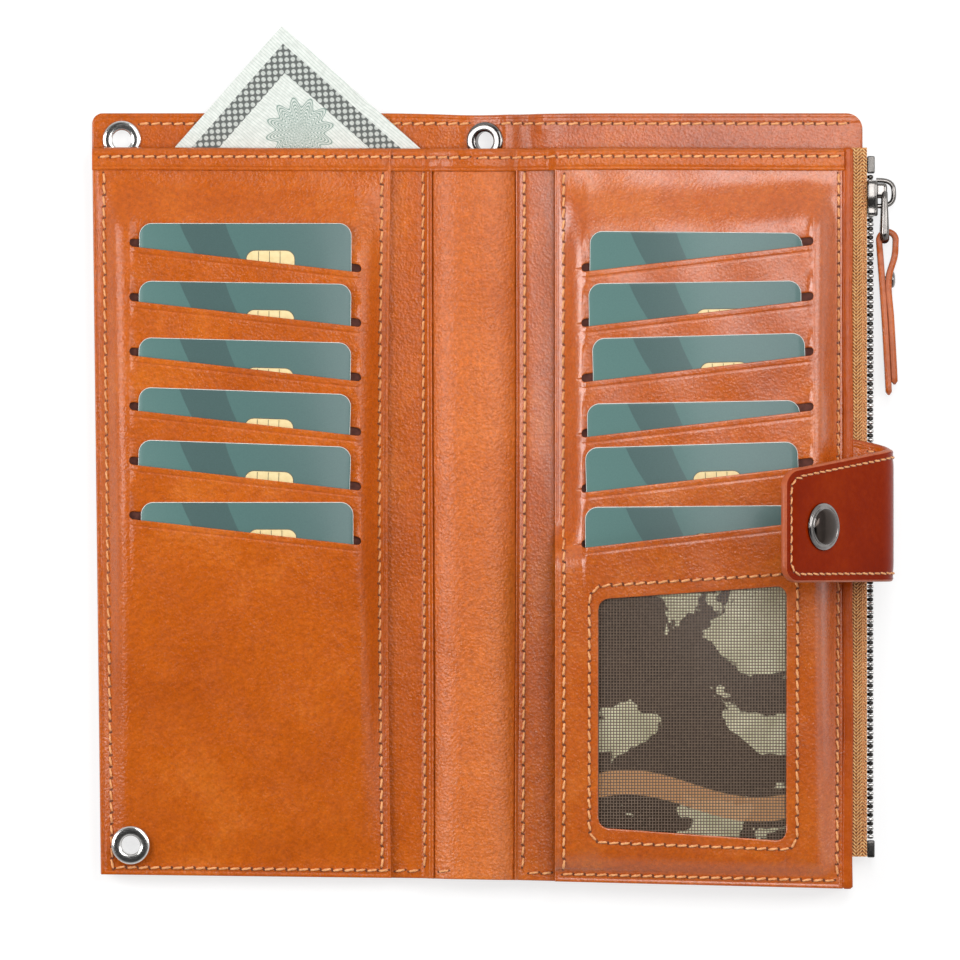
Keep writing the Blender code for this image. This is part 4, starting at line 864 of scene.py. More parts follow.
        # the panel comes down to its base along the sides, under the hem and at the bottom seam
        d0 = gridX[r] - first(y)
        d1 = last(y) - gridX[r]
        room = 7.2
        sideLeft = step(d0, 0.8, room)
        sideRight = step(d1, 0.8, room)
        if withWindow:
            sideLeft = sideLeft + (1 - sideLeft) * step(-y, 4, 11) * (1 - step(-y, 91, 93))
        topFall = 1 - step(y, ends[0] + 3.0, 86.5)
        bottomFall = step(y, bottomEdge(gridX[r]) + 2.4, cardsEnd + 0.2)
        share2 = sideLeft * sideRight * topFall * bottomFall
        gridZ[r] = pocket["base"] + (body - pocket["base"]) * share2
    soft = 0.10 * np.sin(gridX * 0.31 + gridY * 0.17) + 0.08 * np.sin(gridX * 0.13 - gridY * 0.23 + 1.7)
    leftSide, rightSide = (np.array([edge(y) for y in gridY]) for edge in edges)
    dEdge = np.minimum(np.minimum(gridX - leftSide, rightSide - gridX), gridY - bottomEdge(gridX))
    gridZ = gridZ + soft * step(dEdge, 3, 14)

    # cut edges and pressed lines
    thick = panel["thick"]
    lips = np.full_like(gridY, 9.0)
    d, curve = slitHalf(xs)
    for k in range(6):
        lips = np.where(d > 0, np.minimum(lips, np.abs(np.abs(gridY - ends[k]) - curve)), lips)
    edge = np.minimum(dEdge, lips)
    if withWindow:
        inX = np.maximum(window["left"] - gridX, gridX - window["right"])
        inY = np.maximum(windowEdge(gridX, "bottom") - gridY, gridY - windowEdge(gridX, "top"))
        outside = np.where((inX > 0) & (inY > 0), np.hypot(inX, inY), np.maximum(inX, inY))
        edge = np.minimum(edge, np.abs(outside))
    fall = roundOff(edge, thick)
    press = softLine(dEdge - 1.05, 0.16, 0.16)
    inside = 1 - step(dist, 28.0, 30.5)
    for k in range(6):
        press = press + softLine(ends[k] - gridY - half - 1.6, 0.17, 0.17) * inside
    top = gridZ + thick - fall - press
    under = gridZ + fall * 0.9
    holes = np.zeros((len(rows) - 1, len(xs) - 1), bool)
    middles = (xs[1:] + xs[:-1]) / 2
    inSlit = np.abs(middles - pocket["middle"]) < panel["slitLength"] / 2
    for r, tag in enumerate(tags[:-1]):
        if tag.startswith("slitLow"):
            holes[r] = inSlit
        if tag in ("windowLow", "inWindow"):
            holes[r] = (middles > window["left"]) & (middles < window["right"])
    return sheetObject(name, gridX, gridY, top, under, material, holes)


def leftInner(y):
    share = np.clip((np.asarray(y, float) + 93) / 186, 0, 1)
    return -21.1 - 0.9 * np.sin(share * math.pi)


leftEdges = (lambda y: leftOuter(y) + 0.25, leftInner)
rightEdges = (straight(20.6), straight(93.9))
cardPanelLeft = cardPanel("cardPanelLeft", leftPocket, leftEdges, tanLeather, False)
punched(cardPanelLeft, "bottom")
rideOn(cardPanelLeft, "left_leaf", ["card_panel_left"])
cardPanelRight = cardPanel("cardPanelRight", rightPocket, rightEdges, rightLeather, True)
rideOn(cardPanelRight, "right_leaf", ["card_panel_right"])

# lining behind each slit, which shows at both ends beside the card
for pocket, body, label in ((leftPocket, "left_leaf", "Left"), (rightPocket, "right_leaf", "Right")):
    points, faces = [], []
    for index in range(6):
        reach = panel["slitLength"] / 2 + 0.9
        start = len(points)
        for level in (-0.12, -0.02):
            for x, dy in ((-reach, -3), (reach, -3), (reach, 3), (-reach, 3)):
                x = pocket["middle"] + x
                y = float(slitY(pocket, index, x)) + dy
                points.append((x, y, float(stripZ(pocket, index - 1, y)) + level))
        faces += [tuple(start + k for k in face) for face in
                  ((0, 3, 2, 1), (4, 5, 6, 7), (0, 1, 5, 4), (1, 2, 6, 5), (2, 3, 7, 6), (3, 0, 4, 7))]
    rideOn(meshObject("slitLining" + label, points, faces, slotLining, smooth=False), body)
print("card panels made")


# stitches: two-ply thread that dips into needle holes; each hole is a dark disc of painted shade
stitch = {"pitch": 2.9, "length": 2.45, "radius": 0.30, "slant": 9.0, "twist": 2.6, "hole": 0.40,
          "strapSize": 0.84}


def surfaceOf(*pieces):
    trees = []
    for piece in pieces:
        mesh = piece.data
        points = [v.co.copy() for v in mesh.vertices]
        trees.append(BVHTree.FromPolygons(points, [tuple(p.vertices) for p in mesh.polygons]))

    def heightAt(x, y, above=True):
        best = None
        for tree in trees:
            start = Vector((x * mm, y * mm, 0.08 if above else -0.05))
            hit, normal, _, _ = tree.ray_cast(start, Vector((0, 0, -1 if above else 1)))
            if hit is None:
                continue
            if best is None or (hit.z > best[0].z if above else hit.z < best[0].z):
                best = (hit, normal if (normal.z > 0) == above else -normal)
        return best and (np.array(best[0]) / mm, np.array(best[1]))
    return heightAt


def resampled(path, pitch, closed=False):
    path = [np.array(p, float) for p in path]
    if closed:
        path = path + [path[0]]
    lengths = [0.0]
    for a, b in zip(path[:-1], path[1:]):
        lengths.append(lengths[-1] + float(np.linalg.norm(b - a)))
    count = max(1, int(round(lengths[-1] / pitch)))
    spots = []
    for k in range(count):
        s = (k + 0.5) * lengths[-1] / count
        i = min(max(np.searchsorted(lengths, s) - 1, 0), len(path) - 2)
        leg = path[i + 1] - path[i]
        share = (s - lengths[i]) / max(lengths[i + 1] - lengths[i], 1e-6)
        spots.append((path[i] + leg * share, leg / np.linalg.norm(leg)))
    return spots


def threadPiece(points, faces, marks, centres, ups, radius, twistStart, sides=8):
    start = len(points)
    rings = len(centres)
    for k, (c, up) in enumerate(zip(centres, ups)):
        ahead = centres[min(k + 1, rings - 1)] - centres[max(k - 1, 0)]
        ahead = ahead / np.linalg.norm(ahead)
        side = np.cross(ahead, up)
        side = side / np.linalg.norm(side)
        over = np.cross(side, ahead)
        t = k / (rings - 1)
        taper = max((1 - abs(2 * t - 1) ** 4) ** 0.5, 0.35)
        for j in range(sides):
            a = 2 * math.pi * j / sides
            lobes = 1 + 0.16 * math.cos(2 * (a - twistStart - stitch["twist"] * math.pi * t / 2 * 1.6))
            r = radius * taper * lobes
            points.append(c + side * math.cos(a) * r + over * math.sin(a) * r)
    added = ringFaces(rings, sides, start) + endCaps(rings, sides, start)
    faces += added
    marks += [0] * len(added)


def stitchRow(lists, path, heightAt, above=True, closed=False, seed=0, slantSign=1, size=1.0, skip=None):
    points, faces, marks = lists
    chance = np.random.RandomState(1000 + seed)
    for spot, along in resampled(path, stitch["pitch"] * size, closed):
        if skip is not None and skip(spot[0], spot[1]):
            continue
        slant = math.radians(stitch["slant"] * slantSign + chance.uniform(-2.5, 2.5))
        direction = np.array([along[0] * math.cos(slant) - along[1] * math.sin(slant),
                              along[0] * math.sin(slant) + along[1] * math.cos(slant)])
        length = stitch["length"] * size * chance.uniform(0.96, 1.03)
        radius = stitch["radius"] * size * chance.uniform(0.94, 1.06)
        centres, ups, good = [], [], True
        for k in range(9):
            s = (k / 8 - 0.5) * length
            x, y = spot + direction * s
            found = heightAt(x, y, above)
            if found is None:
                good = False
                break
            edge = abs(2 * k / 8 - 1)
            centres.append(found[0] + found[1] * radius * (0.72 - 1.25 * edge ** 5))
            ups.append(found[1])
        if not good:
            continue
        threadPiece(points, faces, marks, centres, ups, radius, chance.uniform(0, math.pi))
        # a dark disc at each end of the stitch, lying on the leather: painted shade of the needle hole
        for s in (-0.5, 0.5):
            x, y = spot + direction * s * (length + 0.25 * size)
            found = heightAt(x, y, above)
            if found is None:
                continue
            tilt = Vector(found[1])
            across = Vector(centres[-1] - centres[0])
            across = (across - tilt * across.dot(tilt)).normalized()
            other = tilt.cross(across)
            start = len(points)
            for j in range(9):
                a = 2 * math.pi * j / 9
                r = stitch["hole"] * size
                p = Vector(found[0]) + across * math.cos(a) * r * 0.95
                p = p + other * math.sin(a) * r * 0.72 + tilt * 0.035
                points.append(np.array(p))
            faces.append(tuple(start + j for j in range(9)))
            marks.append(1)


def stitchPiece(name, rows, heightAt, attach, above=True, seed=0, skip=None, size=1.0):
    lists = ([], [], [])
    for n, row in enumerate(rows):
        path, slantSign, closed = (row + (False,))[:3]
        stitchRow(lists, path, heightAt, above, closed, seed * 17 + n, slantSign, size, skip)
    mesh = bpy.data.meshes.new(name)
    mesh.from_pydata([tuple(float(c) * mm for c in p) for p in lists[0]], [], lists[1])
    mesh.polygons.foreach_set("material_index", lists[2])
    mesh.shade_smooth()
    obj = newObject(name, mesh, [threadTan, needleHole])
    attach(obj)
    return obj


def along(fn, a, b, size=3.0):  # a path of points (fn(t)) for t from a to b
    return [fn(t) for t in spaced(a, b, size)]


onLeft = lambda obj: rideOn(obj, "left_leaf")
onRight = lambda obj: rideOn(obj, "right_leaf")
acrossLeft = lambda obj: bendAcross(obj, -1)
acrossRight = lambda obj: bendAcross(obj, 1)
seamIn = {"side": 3.1, "bottom": 1.9, "bottomRight": 2.0, "corner": 3.6, "hemY": 90.55}
endLeft = float(bottomEdge(-95)) + seamIn["bottom"]


def besideLeft(t):
    return float(leftOuter(t)) + seamIn["side"], t


def aboveBottom(t):
    return t, float(bottomEdge(t)) + seamIn["bottom"]


def aboveBottomRight(t):
    return t, float(bottomEdge(t)) + seamIn["bottomRight"]


def onHem(t):
    return t, seamIn["hemY"] - hemDip(t)


def onTop(t):
    return t, shellLook["seamY"]


# card panels
leftRun = along(besideLeft, 86.6, endLeft)
leftRun += along(aboveBottom, float(leftOuter(endLeft)) + seamIn["corner"], -21.6)
innerRun = along(lambda t: (float(leftInner(t)) - 2.25, t), 86.4, -91.0)
stitchPiece("stitchPanelLeft", [(leftRun, 1), (innerRun, -1)], surfaceOf(cardPanelLeft), onLeft, seed=1)
windowFrame = {"corner": 4.6, "turns": ((29.3, -18.9), (82.2, -15.6), (82.2, -86.0), (29.3, -84.0))}


def framePath():
    turns = [np.array(p) for p in windowFrame["turns"]]
    path = []
    for k, corner in enumerate(turns):
        before, after = turns[k - 1], turns[(k + 1) % 4]
        p0 = corner + (before - corner) / np.linalg.norm(before - corner) * windowFrame["corner"]
        p1 = corner + (after - corner) / np.linalg.norm(after - corner) * windowFrame["corner"]
        for s in np.linspace(0, 1, 7):
            path.append(tuple((1 - s) ** 2 * p0 + 2 * s * (1 - s) * corner + s ** 2 * p1))
    return path


stitchPiece("stitchPanelRight", [
    (along(lambda t: (92.9 - 0.5 * (86 - t) / 176, t), 86.4, -92.6), 1),
    (along(aboveBottomRight, 22.4, 92.0), 1),
    (along(lambda t: (22.85, t), 86.2, -91.2), -1), (framePath(), 1, True)],
    surfaceOf(cardPanelRight), onRight, seed=2)

# pocket strips and the ends of the bottom seam on the spine
stitchPiece("stitchPocketLeft", [
    (along(lambda t: (-12.65 - 0.25 * math.sin(t * 0.021), t), 86.8, -90.6), -1),
    (along(aboveBottom, -20.6, -13.6), 1)], surfaceOf(pockets[0]), acrossLeft, seed=3)
stitchPiece("stitchPocketRight", [
    (along(lambda t: (12.65 + 0.3 * math.sin(t * 0.019 + 1), t), 86.8, -90.8), -1),
    (along(aboveBottomRight, 13.6, 20.2), 1)], surfaceOf(pockets[1]), acrossRight, seed=4)
stitchPiece("stitchSpineEnd", [(along(aboveBottomRight, -9.8, -5.6, 1.0), 1)],
            surfaceOf(liners[0]), acrossLeft, seed=5)

# hem
stitchPiece("stitchHemLeft", [(along(onHem, -95.6, -0.8), 1)], surfaceOf(hems[0]), acrossLeft, seed=6)
stitchPiece("stitchHemRight", [(along(onHem, 0.8, 93.2), 1)], surfaceOf(hems[1]), acrossRight, seed=7)


def nearEyelet(x, y):
    clear = eyelets["flange"] + 1.6
    return any(math.hypot(x - eyelets[k][0], y - eyelets[k][1]) < clear for k in ("top", "spine", "bottom"))


# top edge of the outer leather, front and back, and the seams on the back
stitchPiece("stitchTopLeft", [(along(onTop, -94.4, -1.0), 1)], surfaceOf(shells[0]), acrossLeft, seed=8,
            skip=nearEyelet)
stitchPiece("stitchTopRight", [(along(onTop, 1.0, 95.6), 1)], surfaceOf(shells[1]), acrossRight, seed=9,
            skip=nearEyelet)
backLeft = along(besideLeft, 99.0, endLeft)
backLeft += along(aboveBottom, float(leftOuter(endLeft)) + seamIn["corner"], -1.0)
stitchPiece("stitchBackLeft", [(backLeft, 1), (along(onTop, -93.0, -1.0), 1)],
            surfaceOf(shells[0]), acrossLeft, False, 10, nearEyelet)
stitchPiece("stitchBackRight", [
    (along(aboveBottom, 1.0, 92.8), 1), (along(lambda t: (92.9, t), -93.6, 88.0), 1),
    (along(onTop, 1.0, 95.6), 1)],
    surfaceOf(shells[1]), acrossRight, False, 11, nearEyelet)
print("stitches made")


# cards, each in its own frame, so that its print moves with it
def roundedRing(width, length, corner, inset=0.0, steps=10):
    ring = []
    r = max(corner - inset, 0.05)
    for cx, cy, start in ((1, 1, 0), (-1, 1, 90), (-1, -1, 180), (1, -1, 270)):
        for k in range(steps + 1):
            a = math.radians(start + 90 * k / steps)
            ring.append((cx * (width / 2 - corner) + r * math.cos(a),
                         cy * (length / 2 - corner) + r * math.sin(a)))
    return ring


def plateMesh(name, width, length, thick, corner, materials, bevel=0.10):
    # rounded plate: print on its face, core on its edge
    levels = [(-thick / 2, bevel), (-thick / 2 + bevel * 0.4, bevel * 0.2), (-thick / 2 + bevel, 0.0),
              (thick / 2 - bevel, 0.0), (thick / 2 - bevel * 0.4, bevel * 0.2), (thick / 2, bevel)]
    rings = [[(x, y, z) for x, y in roundedRing(width, length, corner, inset)] for z, inset in levels]
    count = len(rings[0])
    points = [p for ring in rings for p in ring]
    faces = ringFaces(len(rings), count)
    marks = [1] * len(faces) + [0, 0]
    faces += [tuple(reversed(range(count))), tuple(range(len(points) - count, len(points)))]
    obj = meshObject(name, points, faces, materials, marks=marks)
    obj.data.set_sharp_from_angle(angle=math.radians(40))
    return obj


def placed(obj, matrix):
    obj.matrix_world = matrix
    return obj


def localParts(tree):
    coords = tree.nodes.new("ShaderNodeTexCoord")
    parts = tree.nodes.new("ShaderNodeSeparateXYZ")
    linked(tree, coords.outputs["Object"], parts.inputs[0])
    return coords.outputs["Object"], parts.outputs["X"], parts.outputs["Y"]


def awayFrom(tree, x, y, cx, cy):
    dx, dy = minus(tree, x, cx), minus(tree, y, cy)
    return mathOf(tree, "SQRT", plus(tree, times(tree, dx, dx), times(tree, dy, dy))), dx, dy


def discMask(tree, x, y, cx, cy, radius, soft=0.00006):
    return numberRamp(tree, awayFrom(tree, x, y, cx, cy)[0], radius - soft, radius + soft, 1.0, 0.0)


def tealPrint():
    # two broad arcs of deeper teal over a fade from a light to a plain teal
    material, tree, shader = newMaterial("cardTeal")
    place, x, y = localParts(tree)
    fade = numberRamp(tree, x, -0.027, 0.020, 0.0, 1.0)
    low = numberRamp(tree, y, 0.025, 0.043, 0.0, 1.0)
    base = mixed(tree, fade, (0.088, 0.196, 0.178), (0.052, 0.116, 0.110))
    base = mixed(tree, times(tree, low, 0.25), base, (0.065, 0.14, 0.14))
    outer = discMask(tree, x, y, 0.0275, 0.060, 0.0475)
    inner = discMask(tree, x, y, 0.0420, 0.058, 0.0495)
    band = times(tree, outer, minus(tree, 1.0, inner), clamp=True)
    third = discMask(tree, x, y, -0.022, -0.010, 0.028)
    colour = mixed(tree, times(tree, band, 0.86), base, (0.045, 0.085, 0.084))
    colour = mixed(tree, times(tree, third, 0.5), colour, (0.07, 0.15, 0.15))
    grain = noiseOf(tree, place, 3200, 2, 0.5)
    colour = mixed(tree, 0.22, colour, mixed(tree, grain, (0.018, 0.032, 0.032), (0.125, 0.22, 0.205)), "MIX")
    linked(tree, colour, shader.inputs["Base Color"])
    shader.inputs["Roughness"].default_value = 0.38
    shader.inputs["Specular IOR Level"].default_value = 0.35
    wave = noiseOf(tree, place, 60, 2)
    bumped(tree, shader, [(wave, 0.10, 0.2)])
    shader.inputs["Coat Weight"].default_value = 0.15
    shader.inputs["Coat Roughness"].default_value = 0.15
    return material


def plainFinish(name, colour, rough, other=None, scale=900, metal=0.0):
    material, tree, shader = newMaterial(name)
    place = objectPlace(tree)
    cloud = noiseOf(tree, place, scale, 3)
    other = other or tuple(c * 0.82 for c in colour)
    linked(tree, colourRamp(tree, cloud, [(0.3, other), (0.7, colour)]), shader.inputs["Base Color"])
    shader.inputs["Roughness"].default_value = rough
    shader.inputs["Metallic"].default_value = metal
    bumped(tree, shader, [(cloud, 0.01, 0.3)])
    return material


cardTeal = tealPrint()
cardEdge = plainFinish("cardEdge", (0.80, 0.82, 0.78), 0.45)
chipGold = plainFinish("chipGold", (0.80, 0.66, 0.36), 0.32, (0.72, 0.57, 0.28))
chipLine = plainFinish("chipLine", (0.10, 0.075, 0.05), 0.5)
chip = {"x": 6.4, "down": 7.0, "width": 12.2, "height": 9.6, "corner": 2.2, "lines": (-3.05, -0.25, 2.45),
        "lineHalf": 0.075}
cardShape = plateMesh("cardShape", cardSize["width"], cardSize["length"], cardSize["thick"],
                      cardSize["corner"], [cardTeal, cardEdge])


def addPad(points, faces, marks, outline, z, thick, mark):
    start = len(points)
    count = len(outline)
    cx = sum(p[0] for p in outline) / count
    cy = sum(p[1] for p in outline) / count
    for inset, level in ((0.0, z), (0.0, z + thick * 0.6), (0.05, z + thick)):
        for px, py in outline:
            d = math.hypot(px - cx, py - cy) or 1
            points.append((px - (px - cx) / d * inset, py - (py - cy) / d * inset, level))
    added = ringFaces(3, count, start) + [tuple(start + 2 * count + k for k in range(count))]
    faces += added
    marks += [mark] * len(added)


def boxRing(x, y, halfWide, halfHigh):
    return [(x + sx * halfWide, y + sy * halfHigh) for sx, sy in ((1, 1), (-1, 1), (-1, -1), (1, -1))]


def chipRing(grow, corner):
    return [(x + chip["x"], y + chipY)
            for x, y in roundedRing(chip["width"] + grow, chip["height"] + grow, corner, 0, 6)]


topZ = cardSize["thick"] / 2
chipY = cardSize["length"] / 2 - chip["down"] - chip["height"] / 2
chipPoints, chipFaces, chipMarks = [], [], []
addPad(chipPoints, chipFaces, chipMarks, chipRing(0.36, chip["corner"] + 0.15), topZ - 0.02, 0.045, 1)
addPad(chipPoints, chipFaces, chipMarks, chipRing(0, chip["corner"]), topZ, 0.065, 0)
for lineX in chip["lines"]:
    strip = boxRing(chip["x"] + lineX, chipY, chip["lineHalf"], chip["height"] / 2 * 0.97)
    addPad(chipPoints, chipFaces, chipMarks, strip, topZ + 0.05, 0.03, 1)
strip = boxRing(chip["x"], chipY, chip["width"] / 2 * 0.97, chip["lineHalf"])
addPad(chipPoints, chipFaces, chipMarks, strip, topZ + 0.05, 0.03, 1)
chipShape = meshObject("chipShape", chipPoints, chipFaces, [chipGold, chipLine],
                       smooth=False, marks=chipMarks)

for sideName, pocket in (("left", leftPocket), ("right", rightPocket)):
    for index in range(6):
        slant = Matrix.Rotation(math.atan(pocket["slopes"][index]), 4, "X")
        turn = slant @ Matrix.Rotation(math.radians(pocket["tilts"][index]), 4, "Z")
        x = pocket["middle"] + pocket["shifts"][index]
        y = float(slitY(pocket, index, pocket["middle"])) + pocket["shows"][index]
        top = Vector((x, y, float(cardZ(pocket, index, y)) + cardSize["thick"] / 2))
        middle = top - turn.to_3x3() @ Vector((0, cardSize["length"] / 2, 0))
        matrix = Matrix.Translation(middle * mm) @ turn
        node = "card_%s_%d" % (sideName, index + 1)
        label = sideName + str(index + 1)
        for shape, title in ((cardShape, "card_"), (chipShape, "chip_")):
            obj = bpy.data.objects.new(title + label, shape.data)
            bpy.context.scene.collection.objects.link(obj)
            placed(obj, matrix)
            rideOn(obj, node, [node] if shape is cardShape else ())
bpy.data.objects.remove(cardShape)
bpy.data.objects.remove(chipShape)
print("cards made")


# dark card behind the window, the net in the window and what lies behind
def darkPrint():
    material, tree, shader = newMaterial("idPrint")
    place, x, y = localParts(tree)
    warp = noiseOf(tree, place, 70, 3, 0.5)
    shifted = tree.nodes.new("ShaderNodeVectorMath")
    shifted.operation = "ADD"
    linked(tree, place, shifted.inputs[0])
    moved = tree.nodes.new("ShaderNodeCombineXYZ")
    linked(tree, times(tree, minus(tree, warp, 0.5), 0.012), moved.inputs["X"])
    moved.inputs["Z"].default_value = 0.0313
    linked(tree, moved.outputs[0], shifted.inputs[1])
    patches = noiseOf(tree, shifted.outputs[0], 46, 4.5, 0.56, 0.4)
    lean = numberRamp(tree, x, -0.026, 0.026, -0.075, 0.075)
    shape = numberRamp(tree, plus(tree, patches, lean), 0.522, 0.532, 0.0, 1.0)
    shade = noiseOf(tree, place, 120, 3)
    pale = colourRamp(tree, shade, [(0.3, (0.66, 0.64, 0.42)), (0.7, (0.92, 0.90, 0.66))])
    dark = colourRamp(tree, shade, [(0.3, (0.030, 0.017, 0.010)), (0.7, (0.058, 0.034, 0.022))])
    wave = times(tree, mathOf(tree, "SINE", times(tree, x, 95.0)), 0.0035)
    off = mathOf(tree, "ABSOLUTE", plus(tree, plus(tree, y, 0.0205), wave))
    ribbon = numberRamp(tree, off, 0.0030, 0.0033, 0.85, 0.0)
    warm = mixed(tree, ribbon, mixed(tree, shape, dark, pale), (0.88, 0.46, 0.20))
    linked(tree, warm, shader.inputs["Base Color"])
    shader.inputs["Roughness"].default_value = 0.38
    bumped(tree, shader, [(shape, 0.01, 0.3)])
    return material


idPrint = darkPrint()
idEdge = plainFinish("idEdge", (0.20, 0.17, 0.14), 0.5)
idLook = {"width": 52.0, "length": 74.0, "top": -14.8, "middle": 55.5, "corner": 3.2,
          "backing": 0.3, "air": 0.15}
idY = idLook["top"] - idLook["length"] / 2
rise = stripZ(rightPocket, 5, idY) + idLook["backing"] + idLook["air"] + cardSize["thick"] / 2
idMatrix = Matrix.Translation(Vector((idLook["middle"], idY, float(rise))) * mm)
idMatrix = idMatrix @ Matrix.Rotation(math.atan(rightPocket["slopes"][5]), 4, "X")
idCard = placed(plateMesh("idCard", idLook["width"], idLook["length"], cardSize["thick"], idLook["corner"],
                          [idPrint, idEdge]), idMatrix)
rideOn(idCard, "id_card", ["id_card"])

meshThread = plainFinish("meshThread", (0.215, 0.150, 0.105), 0.42, (0.12, 0.082, 0.057), 1400)
net = {"pitch": 0.765, "radius": 0.115, "weave": 0.085, "above": 1.49}
points, faces = [], []


def netThread(a, other, flip, alongX):
    start = len(points)
    r = net["radius"]
    for k, s in enumerate(other):
        x, y = (s, a) if alongX else (a, s)
        z = float(stripZ(rightPocket, 5, y)) + net["above"] + net["weave"] * (1 if (k + flip) % 2 else -1)
        for da, dz in ((-r, 0), (0, r), (r, 0), (0, -r)):
            points.append((x + (0 if alongX else da), y + (da if alongX else 0), z + dz))
    faces.extend(ringFaces(len(other), 4, start) + endCaps(len(other), 4, start))


netXs = np.arange(window["left"] - 2.2, window["right"] + 2.3, net["pitch"])
netYs = np.arange(window["bottom"] - 3.6, window["top"] + 4.0, net["pitch"])
for i, x in enumerate(netXs):
    netThread(float(x), netYs, i, False)
for i, y in enumerate(netYs):
    netThread(float(y), netXs, i + 1, True)
netPiece = meshObject("windowNet", points, faces, meshThread)
rideOn(netPiece, "right_leaf", ["window_mesh"])
gridX, gridY = np.meshgrid(spaced(21.7, 88.2, 6.0), spaced(-89.8, -11.2, 6.0))
base = stripZ(rightPocket, 5, gridY)
backing = sheetObject("windowBacking", gridX, gridY, base + idLook["backing"], base, slotLining, sharp=50)
rideOn(backing, "right_leaf", ["window_backing"])
print("window made")


# eyelets, rolled over on the face and spread against a washer behind
def turnedPiece(name, profile, material, matrix, sides=64, marks=None, sharp=40):
    points, faces, faceMarks = [], [], []
    count = len(profile)
    for s in range(sides):
        a = 2 * math.pi * s / sides
        points += [(r * math.cos(a), r * math.sin(a), z) for r, z in profile]
    for s in range(sides):
        n = (s + 1) % sides
        for k in range(count):
            k2 = (k + 1) % count
            if profile[k][0] < 1e-6 and profile[k2][0] < 1e-6:
                continue
            faces.append((s * count + k, n * count + k, n * count + k2, s * count + k2))
            faceMarks.append(marks[k] if marks else 0)
    obj = meshObject(name, points, faces, material, marks=faceMarks, weld=0.0005)
    obj.data.set_sharp_from_angle(angle=math.radians(sharp))
    obj.matrix_world = matrix
    return obj


def eyeletProfile(top, under):
    # top: face of the leather, under: its back, both measured from the eyelet's middle
    profile = [(2.42, under - 0.25), (2.40, under + 0.3), (2.40, top - 0.2)]
    for k in range(13):
        a = math.pi - math.pi * k / 12
        profile.append((3.65 + 1.25 * math.cos(a), top + 0.02 + 0.58 * math.sin(a) ** 0.8))
    profile += [(4.86, top - 0.01), (4.6, top - 0.02), (2.8, top - 0.02), (2.8, under + 0.1),
                (2.85, under - 0.1), (2.75, under - 0.27)]
    return profile


def washerProfile(under):
    return [(2.9, under - 0.02), (2.75, under - 0.16), (3.1, under - 0.29), (4.5, under - 0.30),
            (4.86, under - 0.18), (4.90, under - 0.02)]


def flatPlace(x, y, z=0.0, tilt=0.0):
    return Matrix.Translation(Vector((x, y, z)) * mm) @ Matrix.Rotation(math.radians(-tilt), 4, "Y")


for label, place, top, under, body, material in (
        ("Top", flatPlace(*eyelets["top"]), 1.35, -0.15, "left_leaf", nickel),
        ("Bottom", flatPlace(*eyelets["bottom"]), 7.41, -0.15, "left_leaf", nickel),
        ("Spine", flatPlace(*eyelets["spine"], 2.53, 20.0), 0.75, -0.75, "spine", gunmetal)):
    for title, profile in (("eyelet", eyeletProfile(top, under)), ("washer", washerProfile(under))):
        piece = turnedPiece(title + label, profile, material, place)
        rideOn(piece, body, [title + "_" + label.lower()])
print("eyelets made")


# note in the compartment behind the hem
def notePrint():
    # pale paper with wavy fine lines, a grey zigzag border and a rosette
    material, tree, shader = newMaterial("notePaper")
    place, x, y = localParts(tree)
    fibre = noiseOf(tree, place, 900, 4)
    paper = colourRamp(tree, fibre, [(0.3, (0.59, 0.62, 0.58)), (0.7, (0.72, 0.75, 0.71))])
    bend = noiseOf(tree, place, 45, 2)
    line = plus(tree, times(tree, y, 9000.0), times(tree, bend, 26.0))
    fine = numberRamp(tree, mathOf(tree, "SINE", line), 0.5, 0.8, 0.0, 0.34)
    colour = mixed(tree, fine, paper, (0.22, 0.34, 0.28))
    fromEdge = minus(tree, 0.02425, mathOf(tree, "ABSOLUTE", x))
    fromTop = minus(tree, 0.03315, mathOf(tree, "ABSOLUTE", y))
    near = mathOf(tree, "MINIMUM", fromEdge, fromTop)
    inBorder = times(tree, numberRamp(tree, near, 0.0032, 0.0033, 0.0, 1.0),
                     numberRamp(tree, near, 0.0085, 0.0086, 1.0, 0.0), clamp=True)
    zig = mathOf(tree, "PINGPONG", plus(tree, x, y), 0.0011)
    zag = mathOf(tree, "PINGPONG", minus(tree, x, y), 0.0011)
    weave = numberRamp(tree, times(tree, times(tree, zig, zag), 1e6), 0.15, 0.42, 0.92, 0.25)
    colour = mixed(tree, times(tree, inBorder, weave), colour, (0.050, 0.058, 0.055))
    far, dx, dy = awayFrom(tree, x, y, -0.003, 0.016)
    angle = mathOf(tree, "ARCTAN2", dy, dx)
    petals = times(tree, mathOf(tree, "SINE", times(tree, angle, 12.0)), 0.0012)
    wavy = plus(tree, far, petals)
    rings = mathOf(tree, "SINE", times(tree, wavy, 7000.0))
    inside = numberRamp(tree, wavy, 0.0078, 0.0080, 1.0, 0.0)
    rosette = times(tree, inside, numberRamp(tree, rings, -0.1, 0.4, 0.10, 0.75))
    colour = mixed(tree, rosette, colour, (0.10, 0.20, 0.16))
    linked(tree, colour, shader.inputs["Base Color"])
    shader.inputs["Roughness"].default_value = 0.75
    bumped(tree, shader, [(fibre, 0.02, 0.4)])
    return material


